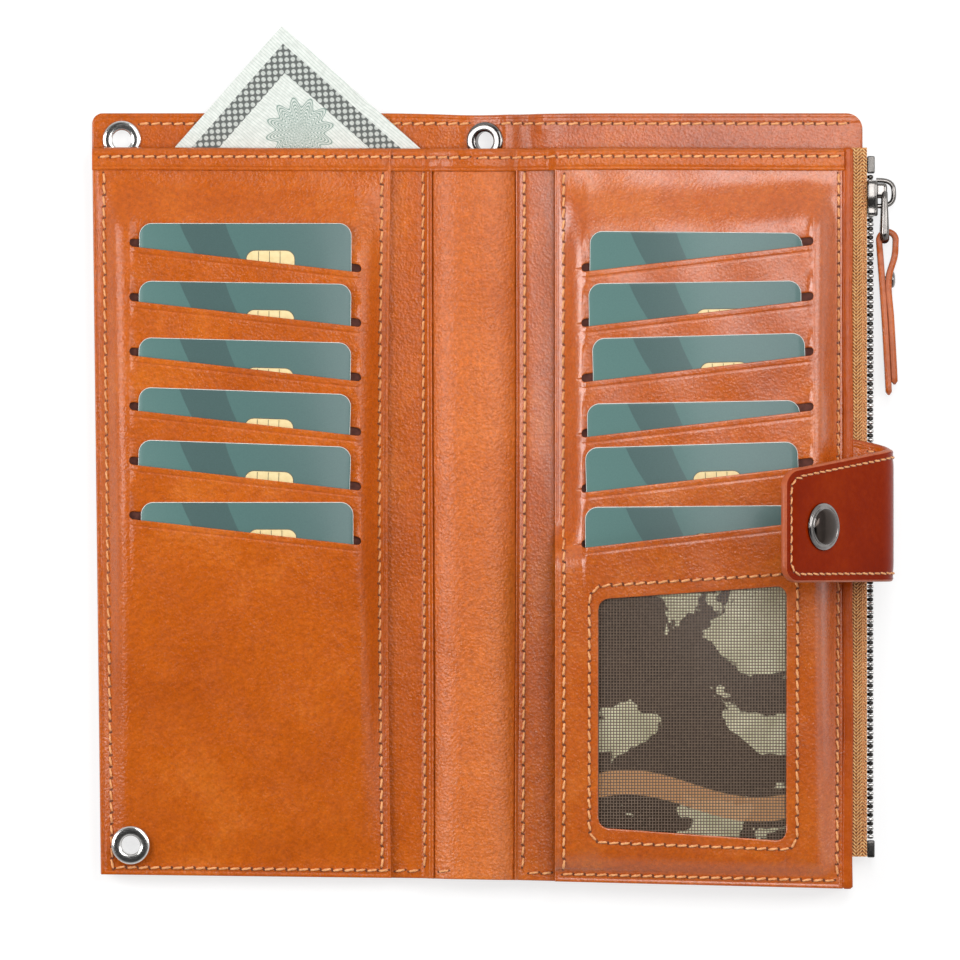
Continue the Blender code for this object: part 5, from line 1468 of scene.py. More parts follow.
notePaper = notePrint()
note = {"width": 48.5, "length": 66.3, "thick": 0.12, "apexX": -49.0, "apexY": 124.0, "angle": 41.5, "z": 2.1,
        "curl": 2.6}
noteMatrix = (Matrix.Translation(Vector((note["apexX"], note["apexY"], note["z"])) * mm)
              @ Matrix.Rotation(math.radians(-note["angle"]), 4, "Z")
              @ Matrix.Translation(Vector((note["width"] / 2, -note["length"] / 2, 0)) * mm))
halfX, halfY = note["width"] / 2, note["length"] / 2
gridX, gridY = np.meshgrid(spaced(-halfX, halfX, 1.5), spaced(-halfY, halfY, 1.5))
fromApex = np.hypot(gridX + halfX, gridY - halfY)
curl = note["curl"] * (1 - step(fromApex, 4, 38)) ** 1.2
curl = curl + 0.1 * np.sin(gridX * 0.16 + gridY * 0.07) * step(gridY, 8, 25)
halfThick = note["thick"] / 2
notePiece = sheetObject("banknoteSheet", gridX, gridY, curl + halfThick, curl - halfThick,
                        notePaper, sharp=50)
placed(notePiece, noteMatrix)
rideOn(notePiece, "banknote", ["banknote"])
print("note made")


# strap: dark front, tan lining, painted edges; two pieces that meet just past the give
def gridSolid(name, upper, lower, materials, marks=(0, 0, 0), sharp=50, rimmed=None):
    # upper and lower: rows x columns x 3; marks: material of the upper face, the lower face and the sides;
    # rimmed: the cells along a painted edge, which take the sides' material
    rows, cols = upper.shape[:2]
    count = rows * cols
    index = np.arange(count).reshape(rows, cols)
    a, b = index[:-1, :-1].ravel(), index[:-1, 1:].ravel()
    c, d = index[1:, 1:].ravel(), index[1:, :-1].ravel()
    faces = np.stack([a, b, c, d], -1).tolist()
    painted = np.zeros(len(faces), bool) if rimmed is None else rimmed.ravel()
    kinds = np.where(painted, marks[2], marks[0]).tolist()
    faces += (np.stack([a, d, c, b], -1) + count).tolist()
    kinds += np.where(painted, marks[2], marks[1]).tolist()
    rim = list(index[0, :]) + list(index[1:, -1]) + list(index[-1, -2::-1]) + list(index[-2:0:-1, 0])
    for k, i in enumerate(rim):
        j = rim[(k + 1) % len(rim)]
        faces.append((int(i), int(j), int(j) + count, int(i) + count))
        kinds.append(marks[2])
    points = np.concatenate([upper.reshape(-1, 3), lower.reshape(-1, 3)])
    obj = meshObject(name, points, faces, materials, marks=kinds)
    obj.data.set_sharp_from_angle(angle=math.radians(sharp))
    return obj


strap = {
    "thick": 2.2, "bottom": -17.6, "rootWidth": 38.0, "bendWidth": 33.5, "tipWidth": 28.0,
    "rootX": 87.85, "rootZ": 7.65, "bendX": 97.5, "radius": 7.8, "giveX": 105.3, "giveZ": 30.52, "lean": 41.0,
    "tangent": 4.2, "link": 10.0, "flap": 32.4, "corner": 4.5, "stitchIn": 2.1, "creaseIn": 1.15,
    "snapFromTip": 14.3, "snapY": -3.6, "studX": -84.78,
}
lean = math.radians(strap["lean"])
snapX = strap["giveX"] - math.sin(lean) * strap["link"]
snapZ = strap["giveZ"] + math.cos(lean) * strap["link"]


def strapLine():  # centre points (x, z) with a fillet where the upright turns into the slant
    pts = [(x, strap["rootZ"]) for x in spaced(strap["rootX"], strap["bendX"], 0.8)]
    for k in range(1, 15):
        a = -math.pi / 2 + math.pi / 2 * k / 14
        pts.append((strap["bendX"] + strap["radius"] * math.cos(a),
                    strap["rootZ"] + strap["radius"] * (1 + math.sin(a))))
    radius = strap["tangent"] / math.tan(lean / 2)
    z0 = strap["giveZ"] - strap["tangent"]
    pts += [(strap["giveX"], z) for z in spaced(strap["rootZ"] + strap["radius"] + 0.8, z0, 0.8)]
    for k in range(1, 9):
        a = lean * k / 8
        pts.append((strap["giveX"] - radius * (1 - math.cos(a)), z0 + radius * math.sin(a)))
    for s in spaced(strap["tangent"], strap["link"] + strap["flap"], 0.8)[1:]:
        pts.append((strap["giveX"] - math.sin(lean) * s, strap["giveZ"] + math.cos(lean) * s))
    return np.array(pts)


line = strapLine()
run = np.concatenate([[0], np.cumsum(np.linalg.norm(np.diff(line, axis=0), axis=1))])
strapEnd = run[-1]


def runNear(x, z):  # length of strap from its root to the point nearest (x, z)
    return float(run[np.argmin(np.hypot(line[:, 0] - x, line[:, 1] - z))])


rootRun = runNear(strap["giveX"], strap["rootZ"] + strap["radius"])
widthStops = ([0, rootRun, strapEnd - strap["flap"] - 10, strapEnd],
              [strap["rootWidth"], strap["bendWidth"], strap["bendWidth"], strap["tipWidth"]])


def strapAt(u):
    x, z = np.interp(u, run, line[:, 0]), np.interp(u, run, line[:, 1])
    ax, az = np.interp(u - 0.7, run, line[:, 0]), np.interp(u - 0.7, run, line[:, 1])
    bx, bz = np.interp(u + 0.7, run, line[:, 0]), np.interp(u + 0.7, run, line[:, 1])
    tx, tz = bx - ax, bz - az
    size = np.hypot(tx, tz)
    return x, z, tz / size, -tx / size  # centre and outward normal


def strapInset(u):
    left = np.clip(strap["corner"] - (strapEnd - u), 0, strap["corner"])
    return strap["corner"] - np.sqrt(np.maximum(strap["corner"] ** 2 - left ** 2, 0))


def strapSpot(u, v, side):  # v: mm above the strap's lower edge, at full width; side 1 outer, -1 inner
    width = np.interp(u, *widthStops)
    inset = strapInset(u)
    gap = np.minimum(np.minimum(v, width - v) - inset, strapEnd - u)
    half = strap["thick"] / 2
    fall = roundOff(gap, strap["thick"] * 0.9)
    n = half - fall - softLine(gap - strap["stitchIn"], 0.14, 0.55)
    n = n - softLine(gap - strap["creaseIn"], 0.10, 0.16)
    n = n - 0.10 * (1 - step(gap, 2.4, 5.0)) * (1 if side > 0 else 0.3)
    x, z, nx, nz = strapAt(u)
    return np.stack([x + nx * n * side, strap["bottom"] + v, z + nz * n * side], -1)


def strapPiece(name, u0, u1, fineEnd):
    us = spaced(u0, u1 - (4.2 if fineEnd else 0), 0.75)
    if fineEnd:
        us = us[:-1] + [u1 - f for f in (4.2, 3.4, 2.8, 2.4, 2.1, 1.8, 1.5, 1.3, 1.15,
                                         1.0, 0.85, 0.7, 0.5, 0.36, 0.24, 0.13, 0.05, 0.0)]
    fine = [0, 0.05, 0.13, 0.24, 0.38, 0.55, 0.75, 0.95, 1.05, 1.15,
            1.25, 1.4, 1.65, 1.9, 2.1, 2.3, 2.6, 3.1, 4.0]
    runs, offsets = [], []
    for u in us:
        inset = float(strapInset(u))
        width = float(np.interp(u, *widthStops)) - 2 * inset
        scale = min(1.0, width / 9.0)
        inner = np.linspace(fine[-1] * scale, width - fine[-1] * scale, 22)
        vs = [f * scale for f in fine[:-1]] + list(inner) + [width - f * scale for f in reversed(fine[:-1])]
        runs.append([u] * len(vs))
        offsets.append([inset + v for v in vs])
    gridU, gridV = np.array(runs), np.array(offsets)
    sideGap = np.minimum(gridV, np.interp(gridU, *widthStops) - gridV) - strapInset(gridU)
    gap = np.minimum(sideGap, strapEnd - gridU)
    middle = (gap[:-1, :-1] + gap[1:, 1:]) / 2
    upper, lower = strapSpot(gridU, gridV, 1), strapSpot(gridU, gridV, -1)
    materials = [strapLeather, tanLeather, strapEdgeLeather]
    return gridSolid(name, upper, lower, materials, (0, 1, 2), rimmed=middle < 0.5)


meet = runNear(strap["giveX"] - math.sin(lean) * 5.0, strap["giveZ"] + math.cos(lean) * 5.0)
bendGive = lambda obj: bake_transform(obj)
bendSnap = lambda obj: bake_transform(obj)
strapRoot = strapPiece("strapRoot", 0.0, meet, False)
bendGive(strapRoot)
strapTip = strapPiece("strapTip", meet, strapEnd, True)
bendSnap(strapTip)
for piece, replaced in ((strapRoot, ["strap_root", "strap_link"]), (strapTip, ["strap_tip"])):
    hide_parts(*replaced)


def strapMap(side):
    def spotAt(u, v, above=True):  # called as heightAt is; side already says which face it is
        def at(du, dv):
            return strapSpot(np.array(min(u + du, strapEnd)), np.array(v + dv), side)
        n = np.cross(at(0, 0.05) - at(0, -0.05), at(0.05, 0) - at(-0.05, 0))
        n = n / np.linalg.norm(n)
        _, _, nx, nz = strapAt(u)
        return at(0, 0), -n if n[0] * nx * side + n[2] * nz * side < 0 else n
    return spotAt


def strapRow(u0, u1, lower):
    path = []
    for u in spaced(u0, u1, 1.0):
        width = float(np.interp(u, *widthStops))
        path.append((u, strap["stitchIn"] if lower else width - strap["stitchIn"]))
    return path


tipWidth = strap["tipWidth"] + 0.3
turn = strap["corner"] - 1.2
edgeEnd = strapEnd - strap["stitchIn"] - turn
arc = []
for k in range(13):
    a = math.pi / 2 * k / 12
    arc.append((edgeEnd + turn * math.sin(a), strap["stitchIn"] + turn - turn * math.cos(a)))
loop = strapRow(meet, edgeEnd, True) + arc
loop += [(u, tipWidth - v) for u, v in reversed(arc)] + strapRow(edgeEnd, meet, False)
onTip = lambda obj: (bendSnap(obj), obj)
onRoot = lambda obj: (bendGive(obj), obj)
for label, side in (("Outer", 1), ("Inner", -1)):
    stitchPiece("stitchStrapTip" + label, [(loop, 1)], strapMap(side), onTip,
                seed=20 + side, size=stitch["strapSize"])
    start = rootRun - (9.0 if side < 0 else 6.0)
    rootRows = [(strapRow(start, meet, True), 1), (strapRow(start, meet, False), 1)]
    stitchPiece("stitchStrapRoot" + label, rootRows, strapMap(side), onRoot,
                seed=24 + side, size=stitch["strapSize"])

# snap: cap and socket on the strap, stud and rivet on the back of the left leaf
beyondLink = strap["flap"] - strap["snapFromTip"]
snapSpot = Vector((snapX - math.sin(lean) * beyondLink, strap["snapY"], snapZ + math.cos(lean) * beyondLink))
snapPlace = Matrix.Translation(snapSpot * mm) @ Matrix.Rotation(math.pi / 2 - lean, 4, "Y")
studPlace = flatPlace(strap["studX"], strap["snapY"])
# profiles: distance from the snap's middle, and height
cap = {"base": 1.1, "dome": 4.45, "domeFrom": 1.02, "domeHigh": 1.0,
       "rim": ((0.0, -0.15), (5.7, -0.1), (5.95, 0.05), (6.02, 0.3), (5.96, 0.55), (5.78, 0.78),
               (5.5, 0.93), (5.2, 0.98), (4.95, 0.93), (4.8, 0.84), (4.66, 0.86), (4.45, 1.02))}
capProfile = [(r, cap["base"] + z) for r, z in cap["rim"]]
for k in range(1, 15):
    a = math.pi / 2 * k / 14
    height = cap["base"] + cap["domeFrom"] + cap["domeHigh"] * math.sin(a)
    capProfile.append((cap["dome"] * math.cos(a), height))
# the cap is one stamped metal: its rim takes the lighter gunmetal as a painted highlight, its dome the dark
# capMetal
capRimHighlightMarks = [0] * 11 + [1] * (len(capProfile) - 11)
snapCap = turnedPiece("snapCap", capProfile, [gunmetal, capMetal], snapPlace, 72, capRimHighlightMarks, sharp=60)
rideOn(snapCap, "strap_flap", ["snap_cap"])
socketProfile = [(2.4, -1.2), (2.35, -1.5), (2.45, -2.1), (2.7, -2.32), (3.1, -2.36), (3.5, -2.2),
                 (3.75, -1.95), (4.2, -1.85), (4.55, -1.7), (4.7, -1.45), (4.68, -1.2)]
studProfile = [(0.0, -1.6), (1.1, -1.6), (1.7, -1.52), (1.98, -1.32), (2.0, -1.12), (1.85, -0.95),
               (1.65, -0.85), (1.6, -0.65), (1.75, -0.55), (4.2, -0.52), (4.45, -0.42), (4.5, -0.3),
               (4.45, -0.16), (1.0, -0.15), (1.0, 1.2), (0.0, 1.2)]
rivetProfile = [(0.0, 1.36), (3.9, 1.36), (4.0, 1.45), (3.95, 1.6), (3.6, 1.72), (0.0, 1.75)]
for name, profile, place, sides, body, node in (
        ("snapSocket", socketProfile, snapPlace, 48, "strap_flap", "snap_socket"),
        ("snapStud", studProfile, studPlace, 48, "left_leaf", "snap_stud"),
        ("studRivet", rivetProfile, studPlace, 40, "left_leaf", "stud_rivet")):
    rideOn(turnedPiece(name, profile, gunmetal, place, sides), body, [node])
print("strap and snap made")


# zip down the right edge
def wovenTapePaintedShade():
    material, tree, shader = newMaterial("tapeWeave")
    place = objectPlace(tree)
    parts = tree.nodes.new("ShaderNodeSeparateXYZ")
    linked(tree, place, parts.inputs[0])
    chevron = mathOf(tree, "PINGPONG", plus(tree, parts.outputs["X"], 0.00021), 0.0016)
    phase = times(tree, plus(tree, parts.outputs["Y"], chevron), 2 * math.pi / 0.00088)
    rib = mathOf(tree, "SINE", phase)
    column = mathOf(tree, "SINE", times(tree, parts.outputs["X"], 2 * math.pi / 0.00080))
    both = plus(tree, times(tree, rib, 0.7), times(tree, column, 0.3))
    cloud = noiseOf(tree, place, 1050, 2, 0.6)
    # the tone follows the ribs' height, dark in their hollows and pale on their crests: partly the threads'
    # own tone, partly painted shade and painted highlight of the weave's relief
    tone = plus(tree, numberRamp(tree, both, -1, 1, 0.05, 0.62), times(tree, cloud, 0.48))
    shades = [(0.26, (0.13, 0.030, 0.004)), (0.50, (0.66, 0.225, 0.045)), (0.82, (1.0, 0.62, 0.26))]
    linked(tree, colourRamp(tree, tone, shades), shader.inputs["Base Color"])
    shader.inputs["Roughness"].default_value = 0.75
    shader.inputs["Sheen Weight"].default_value = 0.3
    bumped(tree, shader, [(both, 0.22, 0.9)])
    return material


tapeWeave = wovenTapePaintedShade()
zipLook = {"low": -87.9, "high": 92.9, "z": 3.35, "pitch": 2.2, "teethLow": -83.4, "teethHigh": 86.0,
           "teethX": 101.1, "tapeHalf": 0.19}
for name, ends, node in (
        ("tapeFront", ((94.2, 5.22), (97.5, 5.25), (99.0, 5.18), (100.2, 4.98)), "zip_tape_front"),
        ("tapeBack", ((92.2, 1.62), (97.5, 1.58), (99.0, 1.60), (100.2, 1.74)), "zip_tape_back")):
    px, pz = zip(*ends)
    xs = np.array(spaced(px[0], px[-1], 0.35))
    ys = np.array(spaced(zipLook["low"], zipLook["high"], 1.2))
    gridX, gridY = np.meshgrid(xs, ys)
    mid = np.interp(gridX, px, pz) + 0.05 * np.sin(gridY * 0.9) * step(gridX, 96.5, 99.0)
    top, low = mid + zipLook["tapeHalf"], mid - zipLook["tapeHalf"]
    piece = sheetObject(name, gridX, gridY, top, low, tapeWeave, sharp=60)
    rideOn(piece, "right_leaf", [node])

# thread loops that bind the teeth to each tape
points, faces, marks = [], [], []
for side in (1, -1):
    z = zipLook["z"] + side * 1.78
    up = np.array([0, 0, float(side)])
    ys = np.arange(zipLook["teethLow"] + 0.3, zipLook["teethHigh"], zipLook["pitch"] / 2)
    for k, y in enumerate(ys):
        centres = [np.array([99.15 + 0.17 * i, y + 0.16 * i - 0.4,
                             z + side * (0.02 + 0.22 * math.sin(math.pi * i / 6))]) for i in range(7)]
        threadPiece(points, faces, marks, centres, [up] * 7, 0.24, (k + 1) * 0.7, 6)
    edge = [np.array([99.05, y, z + side * 0.10])
            for y in np.arange(zipLook["low"] + 0.5, zipLook["high"] - 0.3, 1.1)]
    threadPiece(points, faces, marks, edge, [up] * len(edge), 0.26, 0.0, 6)
rideOn(meshObject("tapeLoops", points, faces, [threadTan], weld=0.0), "right_leaf")


def softBlock(points, faces, size, place, edge=0.3, steps=3):  # a block with rounded edges
    start = len(points)
    around, upward = 6 * steps, 4 * steps
    for i in range(upward + 1):
        phi = -math.pi / 2 + math.pi * i / upward
        wide = power(math.cos(phi), edge)
        for j in range(around):
            a = 2 * math.pi * j / around
            points.append((place[0] + size[0] / 2 * wide * power(math.cos(a), edge),
                           place[1] + size[1] / 2 * wide * power(math.sin(a), edge),
                           place[2] + size[2] / 2 * power(math.sin(phi), edge)))
    faces += ringFaces(upward + 1, around, start)


for side, node, label in ((1, "zip_teeth_front", "teethFront"), (-1, "zip_teeth_back", "teethBack")):
    points, faces = [], []
    shift = 0.0 if side > 0 else zipLook["pitch"] / 2
    y = zipLook["teethLow"] + 0.55 + shift
    while y < zipLook["teethHigh"] - 0.3:
        z = zipLook["z"] + side * 1.15
        softBlock(points, faces, (1.62, 0.92, 1.75), (zipLook["teethX"], y, z + side * 0.05), 0.42, 2)
        softBlock(points, faces, (1.30, 1.10, 0.80), (zipLook["teethX"] + 0.05, y, z - side * 0.72), 0.6, 2)
        y += zipLook["pitch"]
    # front teeth in the lighter copy (painted highlight), back teeth in the near-black copy (painted shade)
    teeth = meshObject(label, points, faces, toothBright if side > 0 else toothDark, weld=0.0005)
    rideOn(teeth, "right_leaf", [node])
# the stops take the darker copy of the zip metal: painted shade
for name, size, place, node in (
        ("bottomStop", (1.9, 4.4, 3.9), (101.25, -85.95, 3.35), "zip_bottom_stop"),
        ("topStopFront", (1.9, 4.4, 1.65), (101.25, 88.55, 4.50), "zip_top_stop_front"),
        ("topStopBack", (1.9, 4.4, 1.65), (101.25, 88.55, 2.20), "zip_top_stop_back")):
    points, faces = [], []
    softBlock(points, faces, size, place, 0.22, 5)
    rideOn(meshObject(name, points, faces, stopMetal, weld=0.0005), "right_leaf", [node])

# slider: shoulders over the chain, a curved bail on its face
sliderLook = {"low": 75.5, "high": 84.5, "plateOut": 102.95, "pivotX": 104.7, "pivotY": 81.3, "bail": 3.3}


def sliderHalf(y):  # the slider is widest at its shoulders and narrows to its tail
    t = (y - sliderLook["low"]) / (sliderLook["high"] - sliderLook["low"])
    wide = 2.45 + 0.55 * float(step(t, 0.15, 0.6)) - 0.35 * float(step(t, 0.88, 1.0))
    return wide * (1 - 0.12 * max(0, (0.06 - t) / 0.06))


sections = []
for y in [75.5, 75.53, 75.6, 75.75] + spaced(76.0, 84.0, 0.4) + [84.25, 84.4, 84.47, 84.5]:
    h = sliderHalf(y)
    ends = min(1, max(0.0, min(y - sliderLook["low"], sliderLook["high"] - y) / 0.4))
    px = sliderLook["plateOut"] - 0.25 + 0.25 * math.sin(ends * math.pi / 2)
    outer = [(100.35, h - 0.15), (100.45, h - 0.03), (100.7, h), (px - 0.7, h), (px - 0.35, h - 0.09),
             (px - 0.1, h - 0.33), (px, h - 0.7), (px + 0.06, 0.8)]
    inner = [(100.32, -2.3), (100.6, -2.22), (102.0, -2.2), (102.1, -2.1)]
    ring = outer + [(x, -z) for x, z in reversed(outer)] + inner + [(x, -z) for x, z in reversed(inner)]
    sections.append([(x, y, zipLook["z"] + z) for x, z in ring])
points, faces = ringedSolid(sections)


def addTube(points, faces, path, radii, sides=12, closed=False, squash=1.0):
    start = len(points)
    path = [np.array(p, float) for p in path]
    n = len(path)
    for k, c in enumerate(path):
        radius = radii[k] if isinstance(radii, list) else radii
        before = path[k - 1] if closed else path[max(k - 1, 0)]
        after = path[(k + 1) % n] if closed else path[min(k + 1, n - 1)]
        ahead = (after - before) / np.linalg.norm(after - before)
        helper = np.array([0, 0, 1.0]) if abs(ahead[2]) < 0.9 else np.array([1.0, 0, 0])
        side = np.cross(ahead, helper)
        side /= np.linalg.norm(side)
        over = np.cross(side, ahead)
        for j in range(sides):
            a = 2 * math.pi * j / sides
            points.append(tuple(c + side * math.cos(a) * radius + over * math.sin(a) * radius * squash))
    faces += ringFaces(n, sides, start)
    last = start + (n - 1) * sides
    if closed:
        faces += [(last + j, last + (j + 1) % sides, start + (j + 1) % sides, start + j)
                  for j in range(sides)]
    else:
        faces += endCaps(n, sides, start)


bail = []
for k in range(25):
    a = math.pi / 2 - math.pi * k / 24
    bail.append((102.6 + 4.5 * abs(math.cos(a)) ** 0.62,
                 sliderLook["pivotY"] + sliderLook["bail"] * power(math.sin(a), 0.7), zipLook["z"]))
addTube(points, faces, bail, 0.62, 14, squash=1.25)
softBlock(points, faces, (3.3, 3.9, 4.0), (103.75, sliderLook["pivotY"] + 0.6, zipLook["z"]), 0.45, 5)
slider = meshObject("zipSlider", points, faces, zipMetal)
slider.data.set_sharp_from_angle(angle=math.radians(45))
rideOn(slider, "slider", ["zip_slider"])

# wire link on the bail
link = {"half": 2.3, "top": 81.3, "low": 69.6, "corner": 1.5, "wire": 0.80, "thicker": 0.42}
points, faces, path = [], [], []
r, z = link["corner"], link["half"] - link["corner"]
upper, lower = link["top"] - r, link["low"] + r
for corner, (cy, cz) in enumerate(((upper, z), (upper, -z), (lower, -z), (lower, z))):
    for k in range(7):
        a = math.pi / 2 * (1 - corner - k / 6)
        path.append((sliderLook["pivotX"], cy + r * math.cos(a), zipLook["z"] + cz + r * math.sin(a)))
radii = [link["wire"] + link["thicker"] * float(step(-p[1], -75.0, -70.5)) for p in path]
addTube(points, faces, path, radii, 14, closed=True)
rideOn(meshObject("pullLink", points, faces, zipMetal, weld=0.0005), "pull_link", ["pull_link"])

# leather tab folded over the link; its two lines run down from the fold at y 0, as (y, x)
tab = {
    "thick": 1.6, "left": -0.75, "right": 2.25, "top": 69.3, "width": 5.8, "neck": 3.6, "corner": 1.4,
    "rivetDown": 10.0, "bow": 2.13,
    "leftLine": ((0, -1.38), (-4, -1.08), (-10, -0.64), (-20, 0.04), (-30, 0.62), (-39.5, 1.12)),
    "rightLine": ((0, 2.88), (-4, 2.60), (-10, 1.04), (-20, 1.68), (-30, 2.26), (-36.8, 2.60)),
}
t2 = tab["thick"] / 2
mouth = (tab["left"] + tab["right"]) / 2


def legPoint(side, y):
    ys, xs = [p[0] for p in tab[side]], [p[1] for p in tab[side]]
    k = max(i for i in range(len(ys) - 1) if y <= ys[i])
    t = (y - ys[k]) / (ys[k + 1] - ys[k])
    m0 = (xs[k + 1] - xs[max(k - 1, 0)]) / (ys[k + 1] - ys[max(k - 1, 0)])
    m1 = (xs[min(k + 2, len(xs) - 1)] - xs[k]) / (ys[min(k + 2, len(xs) - 1)] - ys[k])
    d = ys[k + 1] - ys[k]
    return ((2 * t ** 3 - 3 * t ** 2 + 1) * xs[k] + (t ** 3 - 2 * t ** 2 + t) * m0 * d
            + (3 * t ** 2 - 2 * t ** 3) * xs[k + 1] + (t ** 3 - t ** 2) * m1 * d, y)


centre = [legPoint("leftLine", y) for y in spaced(tab["leftLine"][-1][0], 0, 0.8)]
for k in range(1, 16):
    a = math.pi - math.pi * k / 16
    centre.append((mouth + tab["bow"] * math.cos(a), tab["bow"] * math.sin(a)))
centre += [legPoint("rightLine", y) for y in spaced(0, tab["rightLine"][-1][0], 0.8)]
centre = np.array(centre)
ahead = np.gradient(centre, axis=0)
ahead /= np.linalg.norm(ahead, axis=1)[:, None]
normal = np.stack([-ahead[:, 1], ahead[:, 0]], -1)
travel = np.concatenate([[0], np.cumsum(np.linalg.norm(np.diff(centre, axis=0), axis=1))])
fromEnd = np.minimum(travel, travel[-1] - travel)
r = tab["corner"]
inset = r - np.sqrt(np.maximum(r ** 2 - np.clip(r - fromEnd, 0, r) ** 2, 0))
neck = step(centre[:, 1], -3.4, -1.6)
halfWide = tab["width"] / 2 - (tab["width"] - tab["neck"]) / 2 * neck - inset
toSide = np.array([0.3, 0.6, 0.76, 0.84, 0.9, 0.95, 0.985, 1])
gridV = halfWide[:, None] * np.concatenate([-toSide[::-1], [0], toSide])[None, :]
gap = np.minimum(halfWide[:, None] - np.abs(gridV), fromEnd[:, None])
thickness = t2 - roundOff(gap, tab["thick"] * 0.8) - softLine(gap - 0.7, 0.08, 0.14)


def tabFace(offset):
    return np.stack([sliderLook["pivotX"] + centre[:, 0, None] + normal[:, 0, None] * offset,
                     tab["top"] + centre[:, 1, None] + normal[:, 1, None] * offset, zipLook["z"] + gridV], -1)


pullTab = gridSolid("pullTab", tabFace(thickness), tabFace(-thickness), [tanLeather, tabLeather], (0, 1, 1))
rideOn(pullTab, "pull_tab", ["pull_tab"])
outside = legPoint("rightLine", -tab["rivetDown"])[0] + t2 - 0.05
rivetSpot = Vector((sliderLook["pivotX"], tab["top"] - tab["rivetDown"], zipLook["z"]))
rivetPlace = Matrix.Translation(rivetSpot * mm) @ Matrix.Rotation(math.pi / 2, 4, "Y")
rivetHead = ((0.9, 0), (2.0, 0), (2.12, 0.12), (2.1, 0.4), (1.9, 0.65), (1.45, 0.85), (0.8, 0.96), (0.0, 1.0))
rivet = [(0.0, -1.4), (0.9, -1.4)] + [(r, outside + rise) for r, rise in rivetHead]
tabRivet = turnedPiece("tabRivet", rivet, gunmetal, rivetPlace, 36, sharp=50)
rideOn(tabRivet, "pull_tab", ["tab_rivet"])
print("zip and pull made")


# the CAD pieces that stay as they are
kept = {
    "leather": tanLeather, "dark_leather": strapLeather, "lining": slotLining, "nickel": nickel,
    "gunmetal": gunmetal, "tape": tapeWeave, "card": cardTeal, "id_card": idPrint, "mesh": meshThread,
    "paper": notePaper,
}
slotOf = {part["node"]: part["material_slot"] for part in frame["record"]["subparts"]}
for nodeName, node in nodes.items():
    node.data.materials.clear()
    node.data.materials.append(kept.get(slotOf.get(nodeName), tanLeather))


# white floor, soft lights and the camera overhead
studio = {"floorZ": -1.72, "floorSize": 4.0, "floorGlow": 0.72, "floorColour": 0.34, "world": 0.81}
floorMaterial, floorTree, floorShader = newMaterial("whiteFloor")
floorTree.nodes.remove(floorShader)
floorGround = addNode(floorTree, "ShaderNodeBsdfDiffuse")
floorGround.inputs["Color"].default_value = (studio["floorColour"],) * 3 + (1,)
floorGlow = addNode(floorTree, "ShaderNodeEmission")
rays = addNode(floorTree, "ShaderNodeLightPath")
seen = mathOf(floorTree, "MAXIMUM", rays.outputs["Is Camera Ray"], rays.outputs["Is Glossy Ray"])
seen = mathOf(floorTree, "MAXIMUM", seen, rays.outputs["Is Transmission Ray"])
linked(floorTree, times(floorTree, seen, studio["floorGlow"]), floorGlow.inputs["Strength"])
both = addNode(floorTree, "ShaderNodeAddShader")
linked(floorTree, floorGround.outputs[0], both.inputs[0])
linked(floorTree, floorGlow.outputs[0], both.inputs[1])
linked(floorTree, both.outputs[0], floorTree.nodes["Material Output"].inputs["Surface"])
half = studio["floorSize"] / 2 / mm
floor = meshObject("floor", [(-half, -half, studio["floorZ"]), (half, -half, studio["floorZ"]),
                             (half, half, studio["floorZ"]), (-half, half, studio["floorZ"])],
                   [(0, 1, 2, 3)], floorMaterial, smooth=False)

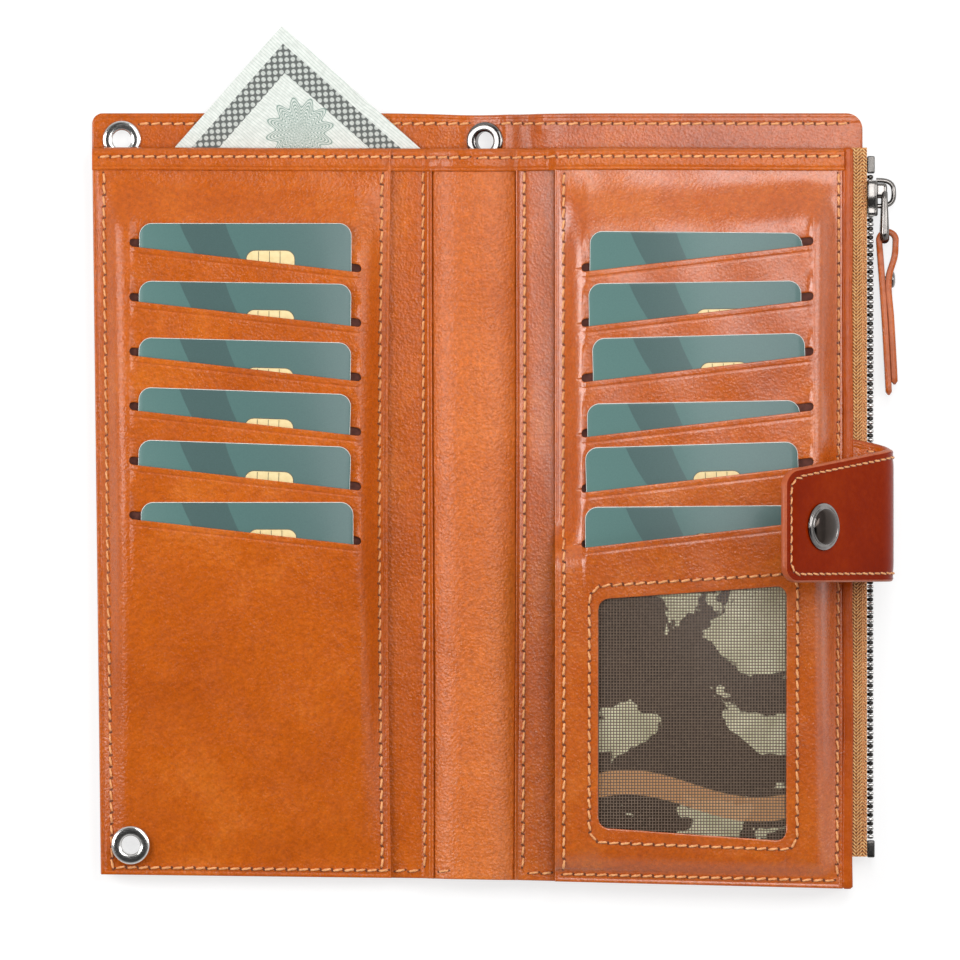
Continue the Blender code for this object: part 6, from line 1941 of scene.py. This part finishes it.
world = bpy.data.worlds.new("studioWorld")
world.use_nodes = True
bpy.context.scene.world = world
skyTree = world.node_tree
background = skyTree.nodes["Background"]
skyRays = addNode(skyTree, "ShaderNodeLightPath")
skyPlace = skyTree.nodes.new("ShaderNodeTexCoord")
skyParts = skyTree.nodes.new("ShaderNodeSeparateXYZ")
linked(skyTree, skyPlace.outputs["Generated"], skyParts.inputs[0])
skyStops = ((0.0, 0.60), (0.40, 1.0), (0.64, 0.92), (0.86, 0.07), (1.0, 0.03))
ring = colourRamp(skyTree, skyParts.outputs["Z"], [(place, (level,) * 3) for place, level in skyStops])
tilt = plus(skyTree, times(skyTree, skyParts.outputs["X"], 0.30), 0.90)
tilt = plus(skyTree, tilt, times(skyTree, skyParts.outputs["Y"], 0.12))
skyLevel = times(skyTree, times(skyTree, ring, tilt), studio["world"])
skyStrength = mathOf(skyTree, "MAXIMUM", skyLevel, skyRays.outputs["Is Camera Ray"])
linked(skyTree, skyStrength, background.inputs["Strength"])
background.inputs["Color"].default_value = (1, 1, 1, 1)


def softBox(name, place, aim, size, power, colour=(1, 1, 1)):
    lamp = bpy.data.lights.new(name, "AREA")
    lamp.shape = "RECTANGLE"
    lamp.size, lamp.size_y = size
    lamp.energy = power
    lamp.color = colour
    obj = bpy.data.objects.new(name, lamp)
    obj.location = place
    obj.rotation_euler = (Vector(aim) - Vector(place)).to_track_quat("-Z", "Y").to_euler()
    bpy.context.scene.collection.objects.link(obj)
    return obj


softBox("keyBox", (0.70, 0.16, 0.62), (0.04, 0, 0), (0.20, 0.60), 2.0)
softBox("sideBox", (-0.62, 0.10, 0.50), (-0.04, 0, 0), (0.30, 0.60), 4.4)
softBox("veilBox", (0.130, 0.195, 0.50), (0.130, 0.195, 0), (0.19, 0.39), 1.45)

shot = {"x": 1.53, "y": 8.14, "width": 244.3, "lens": 500.0}
camera = bpy.data.cameras.new("overhead")
camera.lens = shot["lens"]
camera.sensor_width = 36
camera.sensor_height = 36
cameraObject = bpy.data.objects.new("overhead", camera)
distance = shot["width"] * mm * shot["lens"] / 36
cameraObject.location = (shot["x"] * mm, shot["y"] * mm, distance + 12 * mm)
bpy.context.scene.collection.objects.link(cameraObject)
bpy.context.scene.camera = cameraObject
bpy.context.scene.view_settings.view_transform = "Standard"
print("stage set")

bpy.context.view_layer.update()
low = [1e9] * 3
high = [-1e9] * 3
for obj in bpy.data.objects:
    if obj.type != "MESH" or obj.hide_render or obj.name == "floor":
        continue
    for corner in obj.bound_box:
        spot = obj.matrix_world @ Vector(corner)
        low = [min(a, b) for a, b in zip(low, spot)]
        high = [max(a, b) for a, b in zip(high, spot)]
